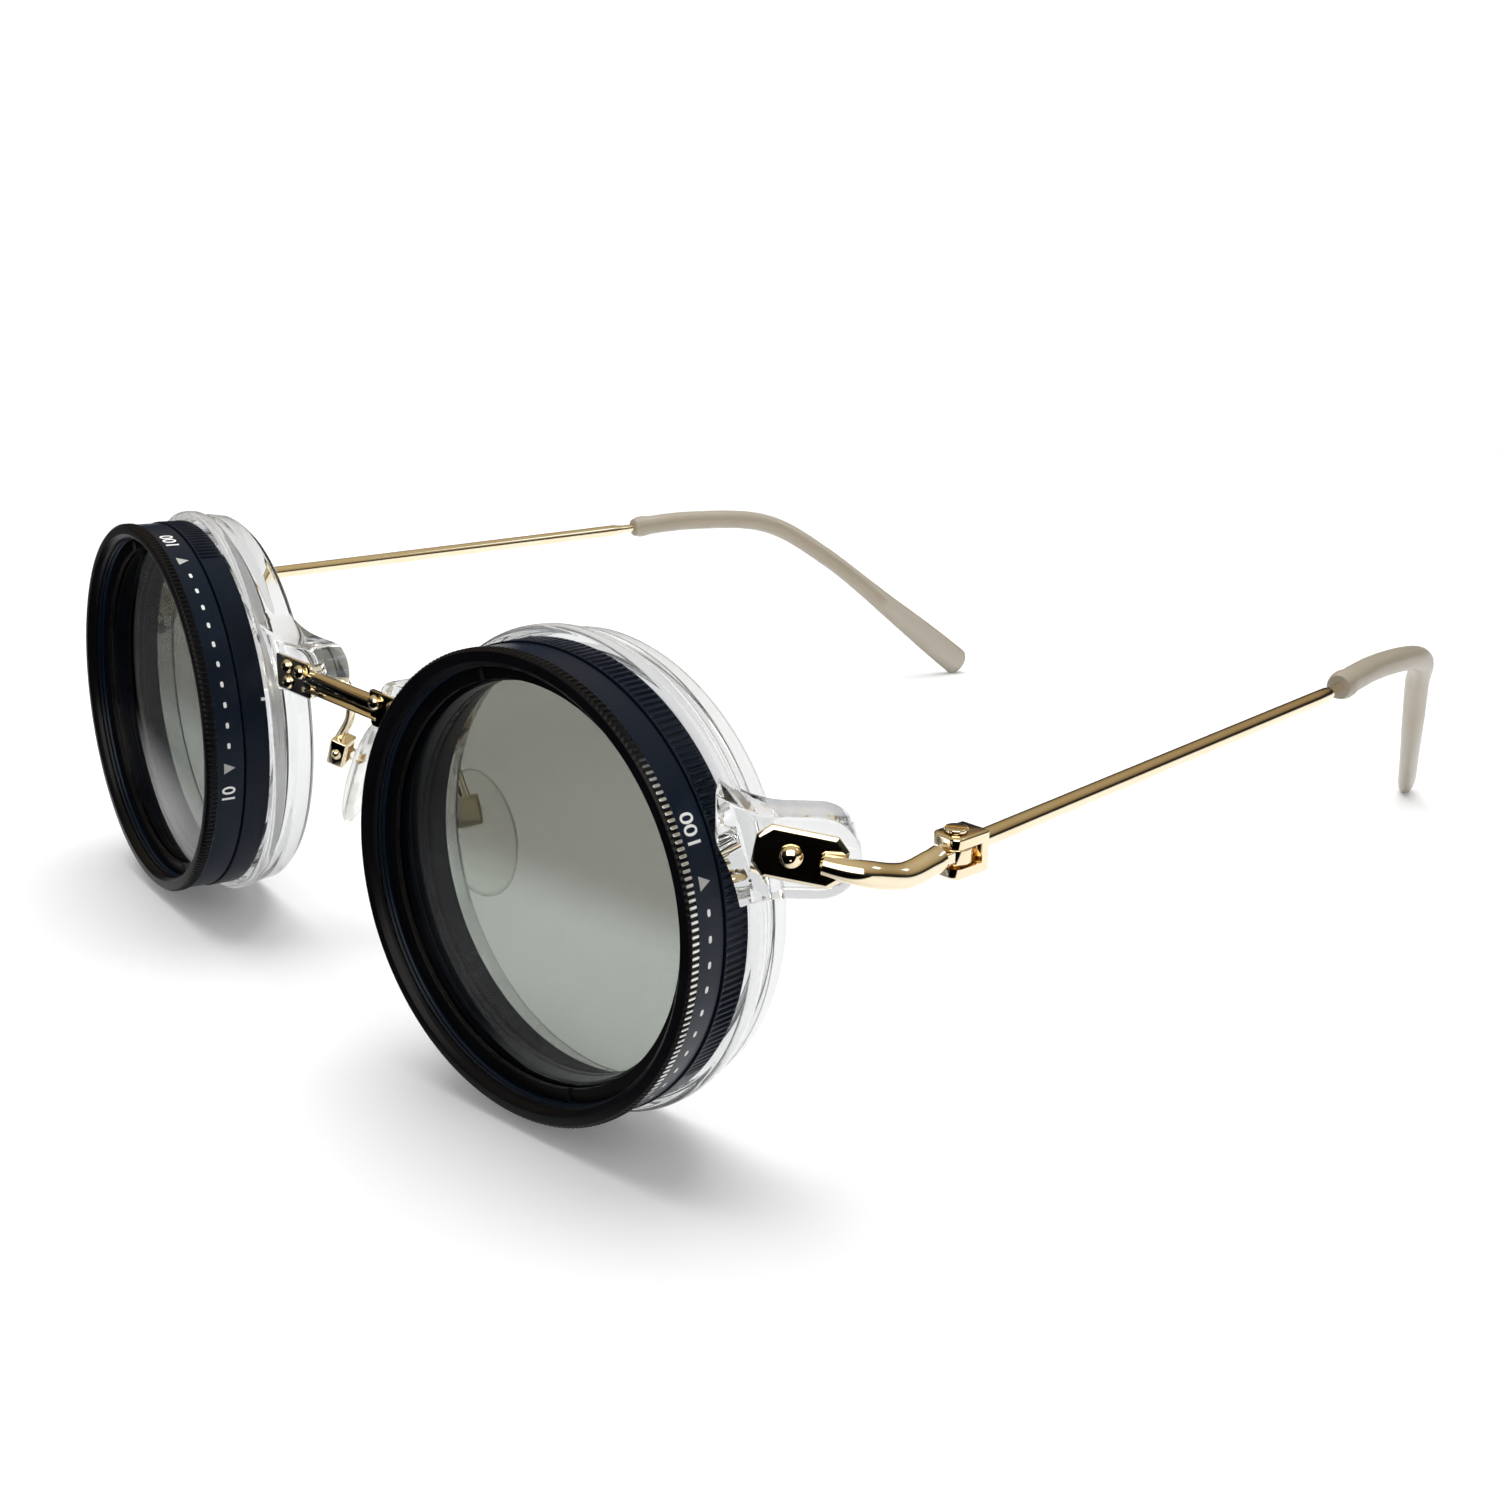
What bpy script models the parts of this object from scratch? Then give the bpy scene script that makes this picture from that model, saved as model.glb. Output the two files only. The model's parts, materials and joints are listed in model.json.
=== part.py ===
"""Variable tint sunglasses: two turning polariser filters on a clear round frame with wire temples.

Metres, +Z up. +X is the wearer's left, the lenses look along -Y and the temples run back along +Y.
The origin is at the bottom centre of the part's bounding box, where it stands on its rims and temple tips.
"""
import math

import bmesh
import bpy
from mathutils import Matrix, Vector

mm = 0.001

# Eye layout
lens_spacing = 68.8 * mm
lens_wrap = math.radians(6.3)
lens_lean = math.radians(1.9)

# Facets of a ring, of a screw, and of a rivet or pin
ring_steps = 32
screw_steps = 16
rivet_steps = 12

# Clearances, and how far a cutter runs past what it cuts
fit_gap = 0.15 * mm
rest_gap = 0.1 * mm
seat_gap = 0.3 * mm
cut_past = 2.0 * mm

# Both filter rings, sized from their common thread
thread_radius = 18.5 * mm
ring_wall = 1.5 * mm
glass_ledge = 1.6 * mm
glass_thickness = 0.8 * mm
retainer_thickness = 0.5 * mm

# Front filter ring, its depths are measured back from its front face
front_ring_depth = 3.8 * mm
lip_chamfer = 0.3 * mm
teeth_depth = 0.95 * mm
scale_step = 0.15 * mm
mouth_chamfer = 0.4 * mm
front_glass_depth = 2.45 * mm
front_retainer_width = 1.15 * mm
spanner_slot_width = 0.9 * mm
spanner_slot_depth = 0.25 * mm
spanner_slot_angle = math.radians(107.0)
nose_wall = 1.05 * mm
nose_length = 1.1 * mm

# Snap ring between the two filter rings
snap_wire = 0.26 * mm
snap_bite = 0.25 * mm
snap_opening = 2.5 * mm
snap_opening_angle = math.radians(40.0)

# Stop pin and the slot that it runs in
pin_radius = 0.28 * mm
pin_inset = 0.85 * mm
pin_seat = 0.5 * mm
pin_reach = 0.7 * mm
tint_range = math.radians(70.0)
index_angle = math.radians(14.5)
slot_offset = math.radians(150.0)
slot_steps = 14
turn_at_rest = {"left": 0.0, "right": math.radians(47.0)}

# Rear filter ring
rear_ring_depth = 2.5 * mm
rear_flange = 0.5 * mm
rear_thread_wall = 0.65 * mm
rear_retainer_width = 0.6 * mm
thread_length = 2.45 * mm

# Clear rim and the threaded ring inside it
mount_wall = 0.45 * mm
mount_length = 1.6 * mm
rim_stand_out = 0.95 * mm
rim_back_step = 0.45 * mm
rim_back_draft = 0.15 * mm
rim_depth = 4.7 * mm
rim_front_layer = 1.25 * mm
rim_groove_width = 1.1 * mm
rim_groove_depth = 0.9 * mm
rim_groove_flare = 0.2 * mm
rim_seat_step = 0.5 * mm
rim_edge = 0.35 * mm

# Temple lug, a slanted block whose panel faces forward and outward
lug_height = 6.9 * mm
lug_slant = math.radians(45.0)
lug_panel_rise = 1.35 * mm
lug_reach = 8.4 * mm
lug_thickness = 4.2 * mm
lug_root_half = 5.2 * mm
lug_neck_half = 3.3 * mm
lug_lobe_rise = 0.1 * mm
lug_root_back = 2.6 * mm

# Nose lug, a block that carries the bridge
nose_lug_height = 8.5 * mm
nose_lug_setback = 0.63 * mm
nose_lug_thickness = 4.0 * mm
nose_lug_tip = 5.8 * mm
nose_lug_root_half = 4.6 * mm
nose_lug_neck_half = 2.6 * mm
nose_lug_root_back = 3.4 * mm
nose_lug_root_depth = 1.0 * mm

# Shape of both lugs: the sweep from root to neck, the round lobe, and the weld into the rim's wall
sweep_power = 2.2
sweep_share = 0.6
sweep_steps = 5
lobe_power = 1.5
lobe_steps = 8
lug_edge = 0.5 * mm
lug_weld = 0.4 * mm

# End piece and its rivet
plate_length = 7.1 * mm
plate_height = 4.2 * mm
plate_thickness = 0.5 * mm
plate_start = 0.3 * mm
plate_chamfer = 1.0 * mm
plate_tilt = math.radians(10.5)
plate_rise = 0.5 * mm
rivet_along = 2.84 * mm
rivet_shaft_radius = 0.5 * mm
rivet_head_radius = 0.95 * mm
rivet_length = 2.4 * mm
head_dome = 0.8

# Elbow bar from the hinge plate back to the knuckle
elbow_radius = 1.05 * mm
elbow_overlap = 2.0 * mm
elbow_slim = 0.75
elbow_slim_steps = 5
elbow_dip = 0.7 * mm
elbow_dip_in = 0.5 * mm
elbow_dip_forward = 1.0 * mm
elbow_arrive_drop = 0.2 * mm
elbow_steps = 16

# Hinge, placed from the outer end of the lug panel
hinge_out = 2.3 * mm
hinge_back = 7.9 * mm
hinge_drop = 0.5 * mm
fork_height = 3.4 * mm
fork_width = 2.9 * mm
fork_leaf = 0.9 * mm
fork_web = 0.9 * mm
fork_corner = 0.8 * mm
corner_steps = 4
block_edge = 0.25 * mm
knuckle_radius = 1.35 * mm
knuckle_steps = 20
knuckle_turn = math.radians(7.0)
tang_width = 1.8 * mm
hinge_screw_radius = 0.5 * mm
hinge_head_radius = 0.95 * mm
hinge_head_height = 0.3 * mm

# Temple, its path is measured from the hinge axis
rod_radius = 0.78 * mm
rod_steps = 4
rod_rise = 0.3 * mm
core_radius = 0.55 * mm
core_stop_back = 16.0 * mm
core_start_share = 0.15
sleeve_start_back = 61.6 * mm
sleeve_start_in = 4.6 * mm
bend_back = 88.6 * mm
bend_in = 8.5 * mm
bend_drop = 1.2 * mm
tip_back = 118.5 * mm
tip_in = 22.6 * mm
tip_stand = 2.0 * mm
before_bend_share = 0.5
before_bend_lift = 1.0 * mm
after_bend_share = 0.3
after_bend_lift = 1.6 * mm
below_bend_share = 0.65
below_bend_lift = 0.9 * mm

# Temple tip sleeve
sleeve_radius = 1.35 * mm
sleeve_collar = 0.2 * mm
sleeve_mouth_share = 0.9
sleeve_steps = 20
sleeve_sides = 10
paddle_start = 0.62
paddle_half_width = 2.2 * mm
paddle_half_thickness = 1.1 * mm
paddle_end_steps = ((0.45, 0.8), (0.25, 0.45))

# Bridge bar, its plates and its rivets
bridge_height = 8.3 * mm
bridge_plate_thickness = 0.45 * mm
bridge_plate_inner = 5.6 * mm
bridge_plate_length = 6.5 * mm
bridge_plate_height = 3.5 * mm
bridge_plate_edge = 0.15 * mm
bar_height = 2.3 * mm
bar_thickness = 1.5 * mm
bar_forward = 0.2 * mm
bar_overlap = 1.0 * mm
bar_edge = 0.5 * mm
bridge_rivet_radius = 0.42 * mm
bridge_rivet_head = 0.72 * mm
bridge_rivet_length = 1.9 * mm
rivet_inner_along = 1.3 * mm
rivet_outer_along = 4.2 * mm
rivet_row_rise = 0.8 * mm
bar_rivet_lift = 0.2 * mm

# Nose pad arm, its path is measured from its root in the nose lug
arm_root_out = 3.0 * mm
arm_root_back = 2.95 * mm
arm_root_drop = 1.2 * mm
pad_arm_radius = 0.5 * mm
arm_leave_drop = 0.1 * mm
arm_leave_back = 0.6 * mm
arm_upper_bend = Vector((0.2, 2.6, -1.9)) * mm
arm_lower_bend = Vector((1.4, 3.1, -4.9)) * mm
arm_steps = 9

# Box on the pad arm's end
box_from_root = Vector((3.5, 3.1, -8.8)) * mm
pad_box_width = 2.4 * mm
pad_box_height = 3.0 * mm
pad_box_depth = 1.9 * mm
pad_box_wall = 0.55 * mm

# Nose pad, its tab and its screw
pad_face = Vector((-0.78, 0.53, -0.33)).normalized()
pad_long = Vector((0.31, 0.0, -0.95))
pad_length = 12.4 * mm
pad_width = 6.8 * mm
pad_thickness = 2.2 * mm
pad_below_box = 2.2 * mm
pad_behind_box = 2.5 * mm
pad_off_centre = 0.6 * mm
pad_steps = 16
pad_rings = 8
pad_tab_gap = 0.2 * mm
pad_tab_swing = 0.45 * mm
pad_screw_radius = 0.3 * mm
pad_screw_head = 0.55 * mm
pad_screw_head_height = 0.3 * mm

# Radii that follow from the sizes above
ring_radius = thread_radius + ring_wall
opening_radius = thread_radius - glass_ledge
front_glass_radius = thread_radius - fit_gap
front_retainer_opening = front_glass_radius - front_retainer_width
nose_radius = opening_radius + nose_wall
rear_bore_radius = nose_radius + fit_gap
rear_glass_bore = thread_radius - rear_thread_wall
rear_glass_radius = rear_glass_bore - fit_gap
rear_retainer_opening = rear_glass_radius - rear_retainer_width
pin_circle = ring_radius - pin_inset
snap_inner = nose_radius - snap_bite
snap_outer = rear_bore_radius + fit_gap
mount_inner = thread_radius + fit_gap
mount_outer = mount_inner + mount_wall
rim_bore = mount_outer + fit_gap
rim_radius = ring_radius + rim_stand_out
rim_back_radius = rim_radius - rim_back_step

# Depths behind the front filter's face that follow from the sizes above
front_glass_back = front_glass_depth + glass_thickness
front_seat_depth = front_glass_back + rest_gap
front_retainer_depth = front_glass_depth - rest_gap - retainer_thickness
nose_end = front_ring_depth + nose_length
rear_front = front_ring_depth + fit_gap
rear_back = rear_front + rear_ring_depth
rear_seat_depth = nose_end + fit_gap + rear_flange
rear_glass_depth = rear_seat_depth + rest_gap
rear_retainer_depth = rear_glass_depth + glass_thickness + rest_gap
thread_end = rear_back + thread_length
snap_depth = front_ring_depth + nose_length / 2
snap_groove_half = snap_wire / 2 + rest_gap
rim_front = rear_back + fit_gap
rim_step = rim_front + mount_length + fit_gap
rim_back = rim_front + rim_depth
slot_start = index_angle + slot_offset


def clear_scene():
    """Remove every object that the file holds."""
    for item in list(bpy.data.objects):
        bpy.data.objects.remove(item, do_unlink=True)


def new_collection(name):
    """Make a collection under the scene's own."""
    collection = bpy.data.collections.new(name)
    bpy.context.scene.collection.children.link(collection)
    return collection


def make_material(name, color, roughness, metallic=0.0, transmission=0.0):
    """Make a Principled material."""
    material = bpy.data.materials.new(name)
    material.use_nodes = True
    shader = material.node_tree.nodes["Principled BSDF"]
    shader.inputs["Base Color"].default_value = (*color, 1.0)
    shader.inputs["Roughness"].default_value = roughness
    shader.inputs["Metallic"].default_value = metallic
    shader.inputs["Transmission Weight"].default_value = transmission
    material.diffuse_color = (*color, 1.0)
    return material


clear_scene()
parts = new_collection("variable_tint_sunglasses")
cutters = new_collection("cutters")
anodised = make_material("black_anodised", (0.012, 0.014, 0.02), 0.35, 0.6)
gold = make_material("pale_gold", (0.80, 0.66, 0.42), 0.15, 1.0)
acetate = make_material("clear_acetate", (0.9, 0.92, 0.93), 0.08, 0.0, 0.9)
tinted_glass = make_material("tinted_glass", (0.45, 0.5, 0.44), 0.03, 0.0, 0.8)
silicone = make_material("clear_silicone", (0.88, 0.88, 0.85), 0.25, 0.0, 0.8)
sleeve_plastic = make_material("tip_sleeve", (0.66, 0.62, 0.54), 0.3, 0.0, 0.4)
steel = make_material("spring_steel", (0.5, 0.5, 0.52), 0.3, 1.0)


def place(name, mesh, parent, material, matrix=None):
    """Add a mesh to the part under a parent, in the parent's own frame."""
    piece = bpy.data.objects.new(name, mesh)
    parts.objects.link(piece)
    piece.parent = parent
    if matrix is not None:
        piece.matrix_local = matrix
    mesh.materials.clear()
    mesh.materials.append(material)
    return piece


def place_cutter(name, mesh, parent, matrix=None):
    """Add a mesh that only cuts others or is joined into them."""
    cutter = bpy.data.objects.new(name, mesh)
    cutters.objects.link(cutter)
    cutter.parent = parent
    cutter.hide_render = True
    cutter.display_type = "WIRE"
    if matrix is not None:
        cutter.matrix_local = matrix
    return cutter


def empty(name, parent=None, matrix=None):
    """Add an empty that carries other pieces."""
    holder = bpy.data.objects.new(name, None)
    parts.objects.link(holder)
    holder.parent = parent
    if matrix is not None:
        holder.matrix_local = matrix
    return holder


def boolean(piece, tool, operation="DIFFERENCE"):
    """Cut a piece with a tool, or join the tool to it."""
    modifier = piece.modifiers.new(operation.lower(), "BOOLEAN")
    modifier.object = tool
    modifier.operation = operation
    modifier.solver = "EXACT"


def bevel(piece, width, segments=2):
    """Round the sharp edges of a piece."""
    modifier = piece.modifiers.new("bevel", "BEVEL")
    modifier.width = width
    modifier.segments = segments
    modifier.limit_method = "ANGLE"
    modifier.angle_limit = math.radians(40.0)


def finish_mesh(shape, mesh):
    """Weld and close a built shape into its mesh, round faces smooth and sharp edges kept."""
    bmesh.ops.remove_doubles(shape, verts=shape.verts, dist=0.001 * mm)
    bmesh.ops.recalc_face_normals(shape, faces=shape.faces)
    shape.to_mesh(mesh)
    shape.free()
    mesh.shade_smooth()
    mesh.set_sharp_from_angle(angle=math.radians(45.0))
    return mesh


def turned(name, profile, parent, material):
    """A ring turned about Z from a closed profile of (radius, depth), outer side from front to back."""
    mesh = bpy.data.meshes.new(name)
    shape = bmesh.new()
    corners = [shape.verts.new((radius, 0.0, -depth)) for radius, depth in profile]
    for here, there in zip(corners, corners[1:] + corners[:1]):
        shape.edges.new((here, there))
    shape.to_mesh(mesh)
    shape.free()
    piece = place(name, mesh, parent, material)
    modifier = piece.modifiers.new("turn", "SCREW")
    modifier.axis = "Z"
    modifier.angle = 2 * math.pi
    modifier.steps = ring_steps
    modifier.render_steps = ring_steps
    modifier.use_merge_vertices = False
    modifier.use_smooth_shade = True
    return piece


def turned_solid(name, outline, steps):
    """A solid turned about Z from an open outline of (radius, height), from top to bottom."""
    mesh = bpy.data.meshes.new(name)
    shape = bmesh.new()
    corners = [shape.verts.new((radius, 0.0, height)) for radius, height in outline]
    edges = [shape.edges.new(pair) for pair in zip(corners, corners[1:])]
    bmesh.ops.spin(shape, geom=corners + edges, axis=(0, 0, 1), cent=(0, 0, 0), steps=steps,
                   angle=2 * math.pi)
    return finish_mesh(shape, mesh)


def cylinder_mesh(name, radius, low, high, sides):
    """A cylinder along Z from low to high."""
    mesh = bpy.data.meshes.new(name)
    shape = bmesh.new()
    middle = Matrix.Translation((0.0, 0.0, (low + high) / 2))
    bmesh.ops.create_cone(shape, cap_ends=True, segments=sides, radius1=radius, radius2=radius,
                          depth=high - low, matrix=middle)
    return finish_mesh(shape, mesh)


def box_mesh(name, low, high):
    """A box between two corners."""
    mesh = bpy.data.meshes.new(name)
    shape = bmesh.new()
    bmesh.ops.create_cube(shape, size=1.0)
    bmesh.ops.scale(shape, vec=Vector(high) - Vector(low), verts=shape.verts)
    bmesh.ops.translate(shape, vec=(Vector(high) + Vector(low)) / 2, verts=shape.verts)
    shape.to_mesh(mesh)
    shape.free()
    return mesh


def outline_mesh(name, outline, low, high):
    """A flat outline of (x, y) points, counter-clockwise, extruded along Z from low to high."""
    mesh = bpy.data.meshes.new(name)
    shape = bmesh.new()
    corners = [shape.verts.new((x, y, low)) for x, y in outline]
    face = shape.faces.new(corners)
    raised = bmesh.ops.extrude_face_region(shape, geom=[face])
    moved = [item for item in raised["geom"] if isinstance(item, bmesh.types.BMVert)]
    bmesh.ops.translate(shape, vec=(0.0, 0.0, high - low), verts=moved)
    bmesh.ops.recalc_face_normals(shape, faces=shape.faces)
    shape.to_mesh(mesh)
    shape.free()
    return mesh


def tube_mesh(name, points, radii, resolution=2):
    """A round bar along points, with a radius at each, as one closed mesh."""
    curve = bpy.data.curves.new(name, "CURVE")
    curve.dimensions = "3D"
    curve.bevel_depth = 1.0
    curve.bevel_resolution = resolution
    curve.use_fill_caps = True
    spline = curve.splines.new("POLY")
    spline.points.add(len(points) - 1)
    for point, where, radius in zip(spline.points, points, radii):
        point.co = (*where, 1.0)
        point.radius = radius
    holder = bpy.data.objects.new(name, curve)
    cutters.objects.link(holder)
    graph = bpy.context.evaluated_depsgraph_get()
    mesh = bpy.data.meshes.new_from_object(holder.evaluated_get(graph))
    bpy.data.objects.remove(holder, do_unlink=True)
    shape = bmesh.new()
    shape.from_mesh(mesh)
    return finish_mesh(shape, mesh)


def loft_mesh(name, points, half_widths, half_heights):
    """Oval sections along points, tall in the vertical plane and flat across it, closed at both ends."""
    mesh = bpy.data.meshes.new(name)
    shape = bmesh.new()
    loops = []
    for number, point in enumerate(points):
        ahead = points[min(number + 1, len(points) - 1)]
        behind = points[max(number - 1, 0)]
        along = (ahead - behind).normalized()
        across = along.cross(Vector((0, 0, 1))).normalized()
        upward = across.cross(along)
        loop = []
        for side in range(sleeve_sides):
            turn = 2 * math.pi * side / sleeve_sides
            offset = across * (half_widths[number] * math.cos(turn))
            offset += upward * (half_heights[number] * math.sin(turn))
            loop.append(shape.verts.new(point + offset))
        loops.append(loop)
    for first, second in zip(loops, loops[1:]):
        for side in range(sleeve_sides):
            after = (side + 1) % sleeve_sides
            shape.faces.new((first[side], first[after], second[after], second[side]))
    shape.faces.new(list(reversed(loops[0])))
    shape.faces.new(loops[-1])
    return finish_mesh(shape, mesh)


def arc(centre_x, centre_y, radius, start, end, count):
    """Points along an arc, angles in radians."""
    angles = [start + (end - start) * step / count for step in range(count + 1)]
    return [(centre_x + radius * math.cos(angle), centre_y + radius * math.sin(angle)) for angle in angles]


def lug_outline(root_half, neck_half, reach, root_x, lobe_rise=0.0):
    """A lug that sweeps in from a tall root to a neck and ends in a round lobe, pointing along +X."""
    neck_x = reach - neck_half
    shares = [step / sweep_steps for step in range(sweep_steps + 1)]
    halves = [(root_half - neck_half) * (1 - share) ** sweep_power + neck_half for share in shares]
    xs = [root_x + (neck_x * sweep_share - root_x) * share for share in shares]
    rises = [lobe_rise * share ** lobe_power for share in shares]
    lower = [(x, rise - half) for x, rise, half in zip(xs, rises, halves)]
    upper = [(x, rise + half) for x, rise, half in zip(xs, rises, halves)]
    lobe = arc(neck_x, lobe_rise, neck_half, -math.pi / 2, math.pi / 2, lobe_steps)
    return lower + lobe + upper[::-1]


def spline_points(points, count):
    """Evenly spread points on a smooth Catmull-Rom curve through the given ones."""
    path = [points[0] * 2 - points[1]] + list(points) + [points[-1] * 2 - points[-2]]
    spans = len(points) - 1
    result = []
    for step in range(count + 1):
        position = min(step / count * spans, spans - 1e-9)
        span = int(position)
        t = position - span
        a, b, c, d = path[span:span + 4]
        result.append(0.5 * (2 * b + (c - a) * t + (2 * a - 5 * b + 4 * c - d) * t * t
                             + (3 * b - a - 3 * c + d) * t ** 3))
    return result


def rivet_mesh(name, shaft, head, low, head_low):
    """A round shaft with a ball head on top."""
    angles = [math.radians(angle) for angle in (0, 30, 60, 90)]
    dome = [(head * math.sin(angle), head_low + head * head_dome * math.cos(angle)) for angle in angles]
    return turned_solid(name, dome + [(shaft, head_low), (shaft, low), (0.0, low)], rivet_steps)


def screw_mesh(name, shaft, head, low, head_low, head_height):
    """A shaft with a low head whose upper edge is chamfered."""
    top = head_low + head_height
    outline = [(0.0, top), (head - head_height / 2, top), (head, top - head_height / 2), (head, head_low),
               (shaft, head_low), (shaft, low), (0.0, low)]
    return turned_solid(name, outline, screw_steps)


def mirror_piece(piece, name, parent):
    """Copy a finished piece to the other side of the X = 0 plane of the front."""
    graph = bpy.context.evaluated_depsgraph_get()
    mesh = bpy.data.meshes.new_from_object(piece.evaluated_get(graph))
    to_front = front.matrix_world.inverted() @ piece.matrix_world
    flip = Matrix.Scale(-1.0, 4, Vector((1.0, 0.0, 0.0)))
    into_parent = (front.matrix_world.inverted() @ parent.matrix_world).inverted()
    mesh.transform(into_parent @ flip @ to_front)
    mesh.flip_normals()
    return place(name, mesh, parent, piece.data.materials[0])


def eye_matrix(side):
    """The optical frame of one eye: X across, Y up, Z forward, origin at the ring's front centre."""
    sign = 1.0 if side == "left" else -1.0
    turn = Matrix.Rotation(sign * lens_wrap, 4, "Z") @ Matrix.Rotation(math.pi / 2 - lens_lean, 4, "X")
    return Matrix.Translation((sign * lens_spacing / 2, 0.0, 0.0)) @ turn


def eye_point(radius, height, depth, inward=False):
    """A point of the left rim in the front's frame, at a height, on its temple or its nose side."""
    across = math.sqrt(radius ** 2 - height ** 2)
    return eye_matrix("left") @ Vector((-across if inward else across, height, -depth))


def lug_frame():
    """The temple lug's panel: X runs outward along it, Y up, Z out of its face."""
    along = Vector((math.cos(lug_slant), math.sin(lug_slant), 0.0))
    up = Vector((0.0, 0.0, 1.0))
    face = along.cross(up)
    corner = eye_point(rim_radius, lug_height, rim_front) + face * lug_panel_rise
    rotation = Matrix((along, up, face)).transposed().to_4x4()
    return Matrix.Translation(corner) @ rotation


def hinge_place():
    """The hinge axis in the front's frame, at the middle of the fork."""
    panel_end = lug_frame() @ Vector((lug_reach, 0.0, 0.0))
    return panel_end + Vector((hinge_out, hinge_back, -hinge_drop))


def plate_frame():
    """The hinge plate's frame at the middle of its front end, X along it and Z out of its face."""
    tilt = Matrix.Rotation(-plate_tilt, 4, "Z")
    rise = plate_rise + plate_length / 2 * math.sin(plate_tilt)
    return lug_frame() @ Matrix.Translation((plate_start, rise, seat_gap)) @ tilt


def end_rivet_matrix():
    """The end piece rivet's frame on the lug panel, Z out of the panel's face."""
    return plate_frame() @ Matrix.Translation((rivet_along, 0.0, -seat_gap))


def face_forward(where):
    """A frame whose Z points forward, at a point of the front."""
    return Matrix.Translation(where) @ Matrix.Rotation(math.pi / 2, 4, "X")


def nose_lug_root():
    """Where the nose lug leaves the rim's wall, at the lug's middle height."""
    return eye_point(rim_bore + nose_lug_root_depth, nose_lug_height, rim_front, inward=True)


def nose_lug_front():
    """How far the nose lug's front face lies behind the filters' front centres."""
    return nose_lug_root().y + nose_lug_setback


def bridge_rivet_places():
    """The three rivets of the left bridge plate, each by its name and its place on the plate's front face."""
    plate_front = nose_lug_front() - seat_gap - bridge_plate_thickness
    inner_x = bridge_plate_inner + rivet_inner_along
    outer_x = bridge_plate_inner + rivet_outer_along
    upper_z = bridge_height + rivet_row_rise
    lower_z = bridge_height - rivet_row_rise
    return {"inner": Vector((inner_x, plate_front, upper_z)),
            "outer": Vector((outer_x, plate_front, upper_z)),
            "lower": Vector((outer_x, plate_front, lower_z))}


def pad_arm_root():
    """The inner end of the pad arm, inside the nose lug."""
    lug_front = Vector((nose_lug_tip, nose_lug_front(), nose_lug_height))
    return lug_front + Vector((arm_root_out, arm_root_back, -arm_root_drop))


def pad_frame():
    """The nose pad's frame at its box: X across the pad, Y up its length, Z out of its face to the nose."""
    up = (-pad_long - pad_face * (-pad_long).dot(pad_face)).normalized()
    across = up.cross(pad_face).normalized()
    rotation = Matrix((across, up, pad_face)).transposed().to_4x4()
    return Matrix.Translation(pad_arm_root() + box_from_root) @ rotation


def pad_arm_path():
    """The pad arm's centre line: straight out of the nose lug, then down into the back of its box."""
    root = pad_arm_root()
    inside = root + Vector((0.0, arm_root_back / 8, 0.0))
    leave = root + Vector((0.0, nose_lug_thickness - arm_root_back + arm_leave_back, -arm_leave_drop))
    into_box = pad_frame() @ Vector((0.0, pad_box_height * 0.4, -pad_box_depth / 4))
    bends = [leave, root + arm_upper_bend, root + arm_lower_bend, into_box]
    return [root, inside] + spline_points(bends, arm_steps)


def rim_low():
    """How far the rim's lowest point lies below the middle of the eyes."""
    return rim_radius * math.cos(lens_lean) + (rim_front + rim_front_layer) * math.sin(lens_lean)


def temple_path():
    """The temple's centre line in the hinge's own frame: the rod's start, then the sleeve's points."""
    tip_drop = hinge_place().z + rim_low() - tip_stand
    rod_start = Vector((0.0, knuckle_radius + fit_gap + fork_web / 2, rod_rise))
    sleeve_start = Vector((-sleeve_start_in, sleeve_start_back, rod_rise))
    bend = Vector((-bend_in, bend_back, -bend_drop))
    tip = Vector((-tip_in, tip_back, -tip_drop))
    before = sleeve_start.lerp(bend, before_bend_share) + Vector((0.0, 0.0, before_bend_lift))
    after = bend.lerp(tip, after_bend_share) + Vector((0.0, 0.0, after_bend_lift))
    below = bend.lerp(tip, below_bend_share) + Vector((0.0, 0.0, below_bend_lift))
    return rod_start, [sleeve_start, before, bend, after, below, tip]


front = empty("front")
bpy.context.view_layer.update()


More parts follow.
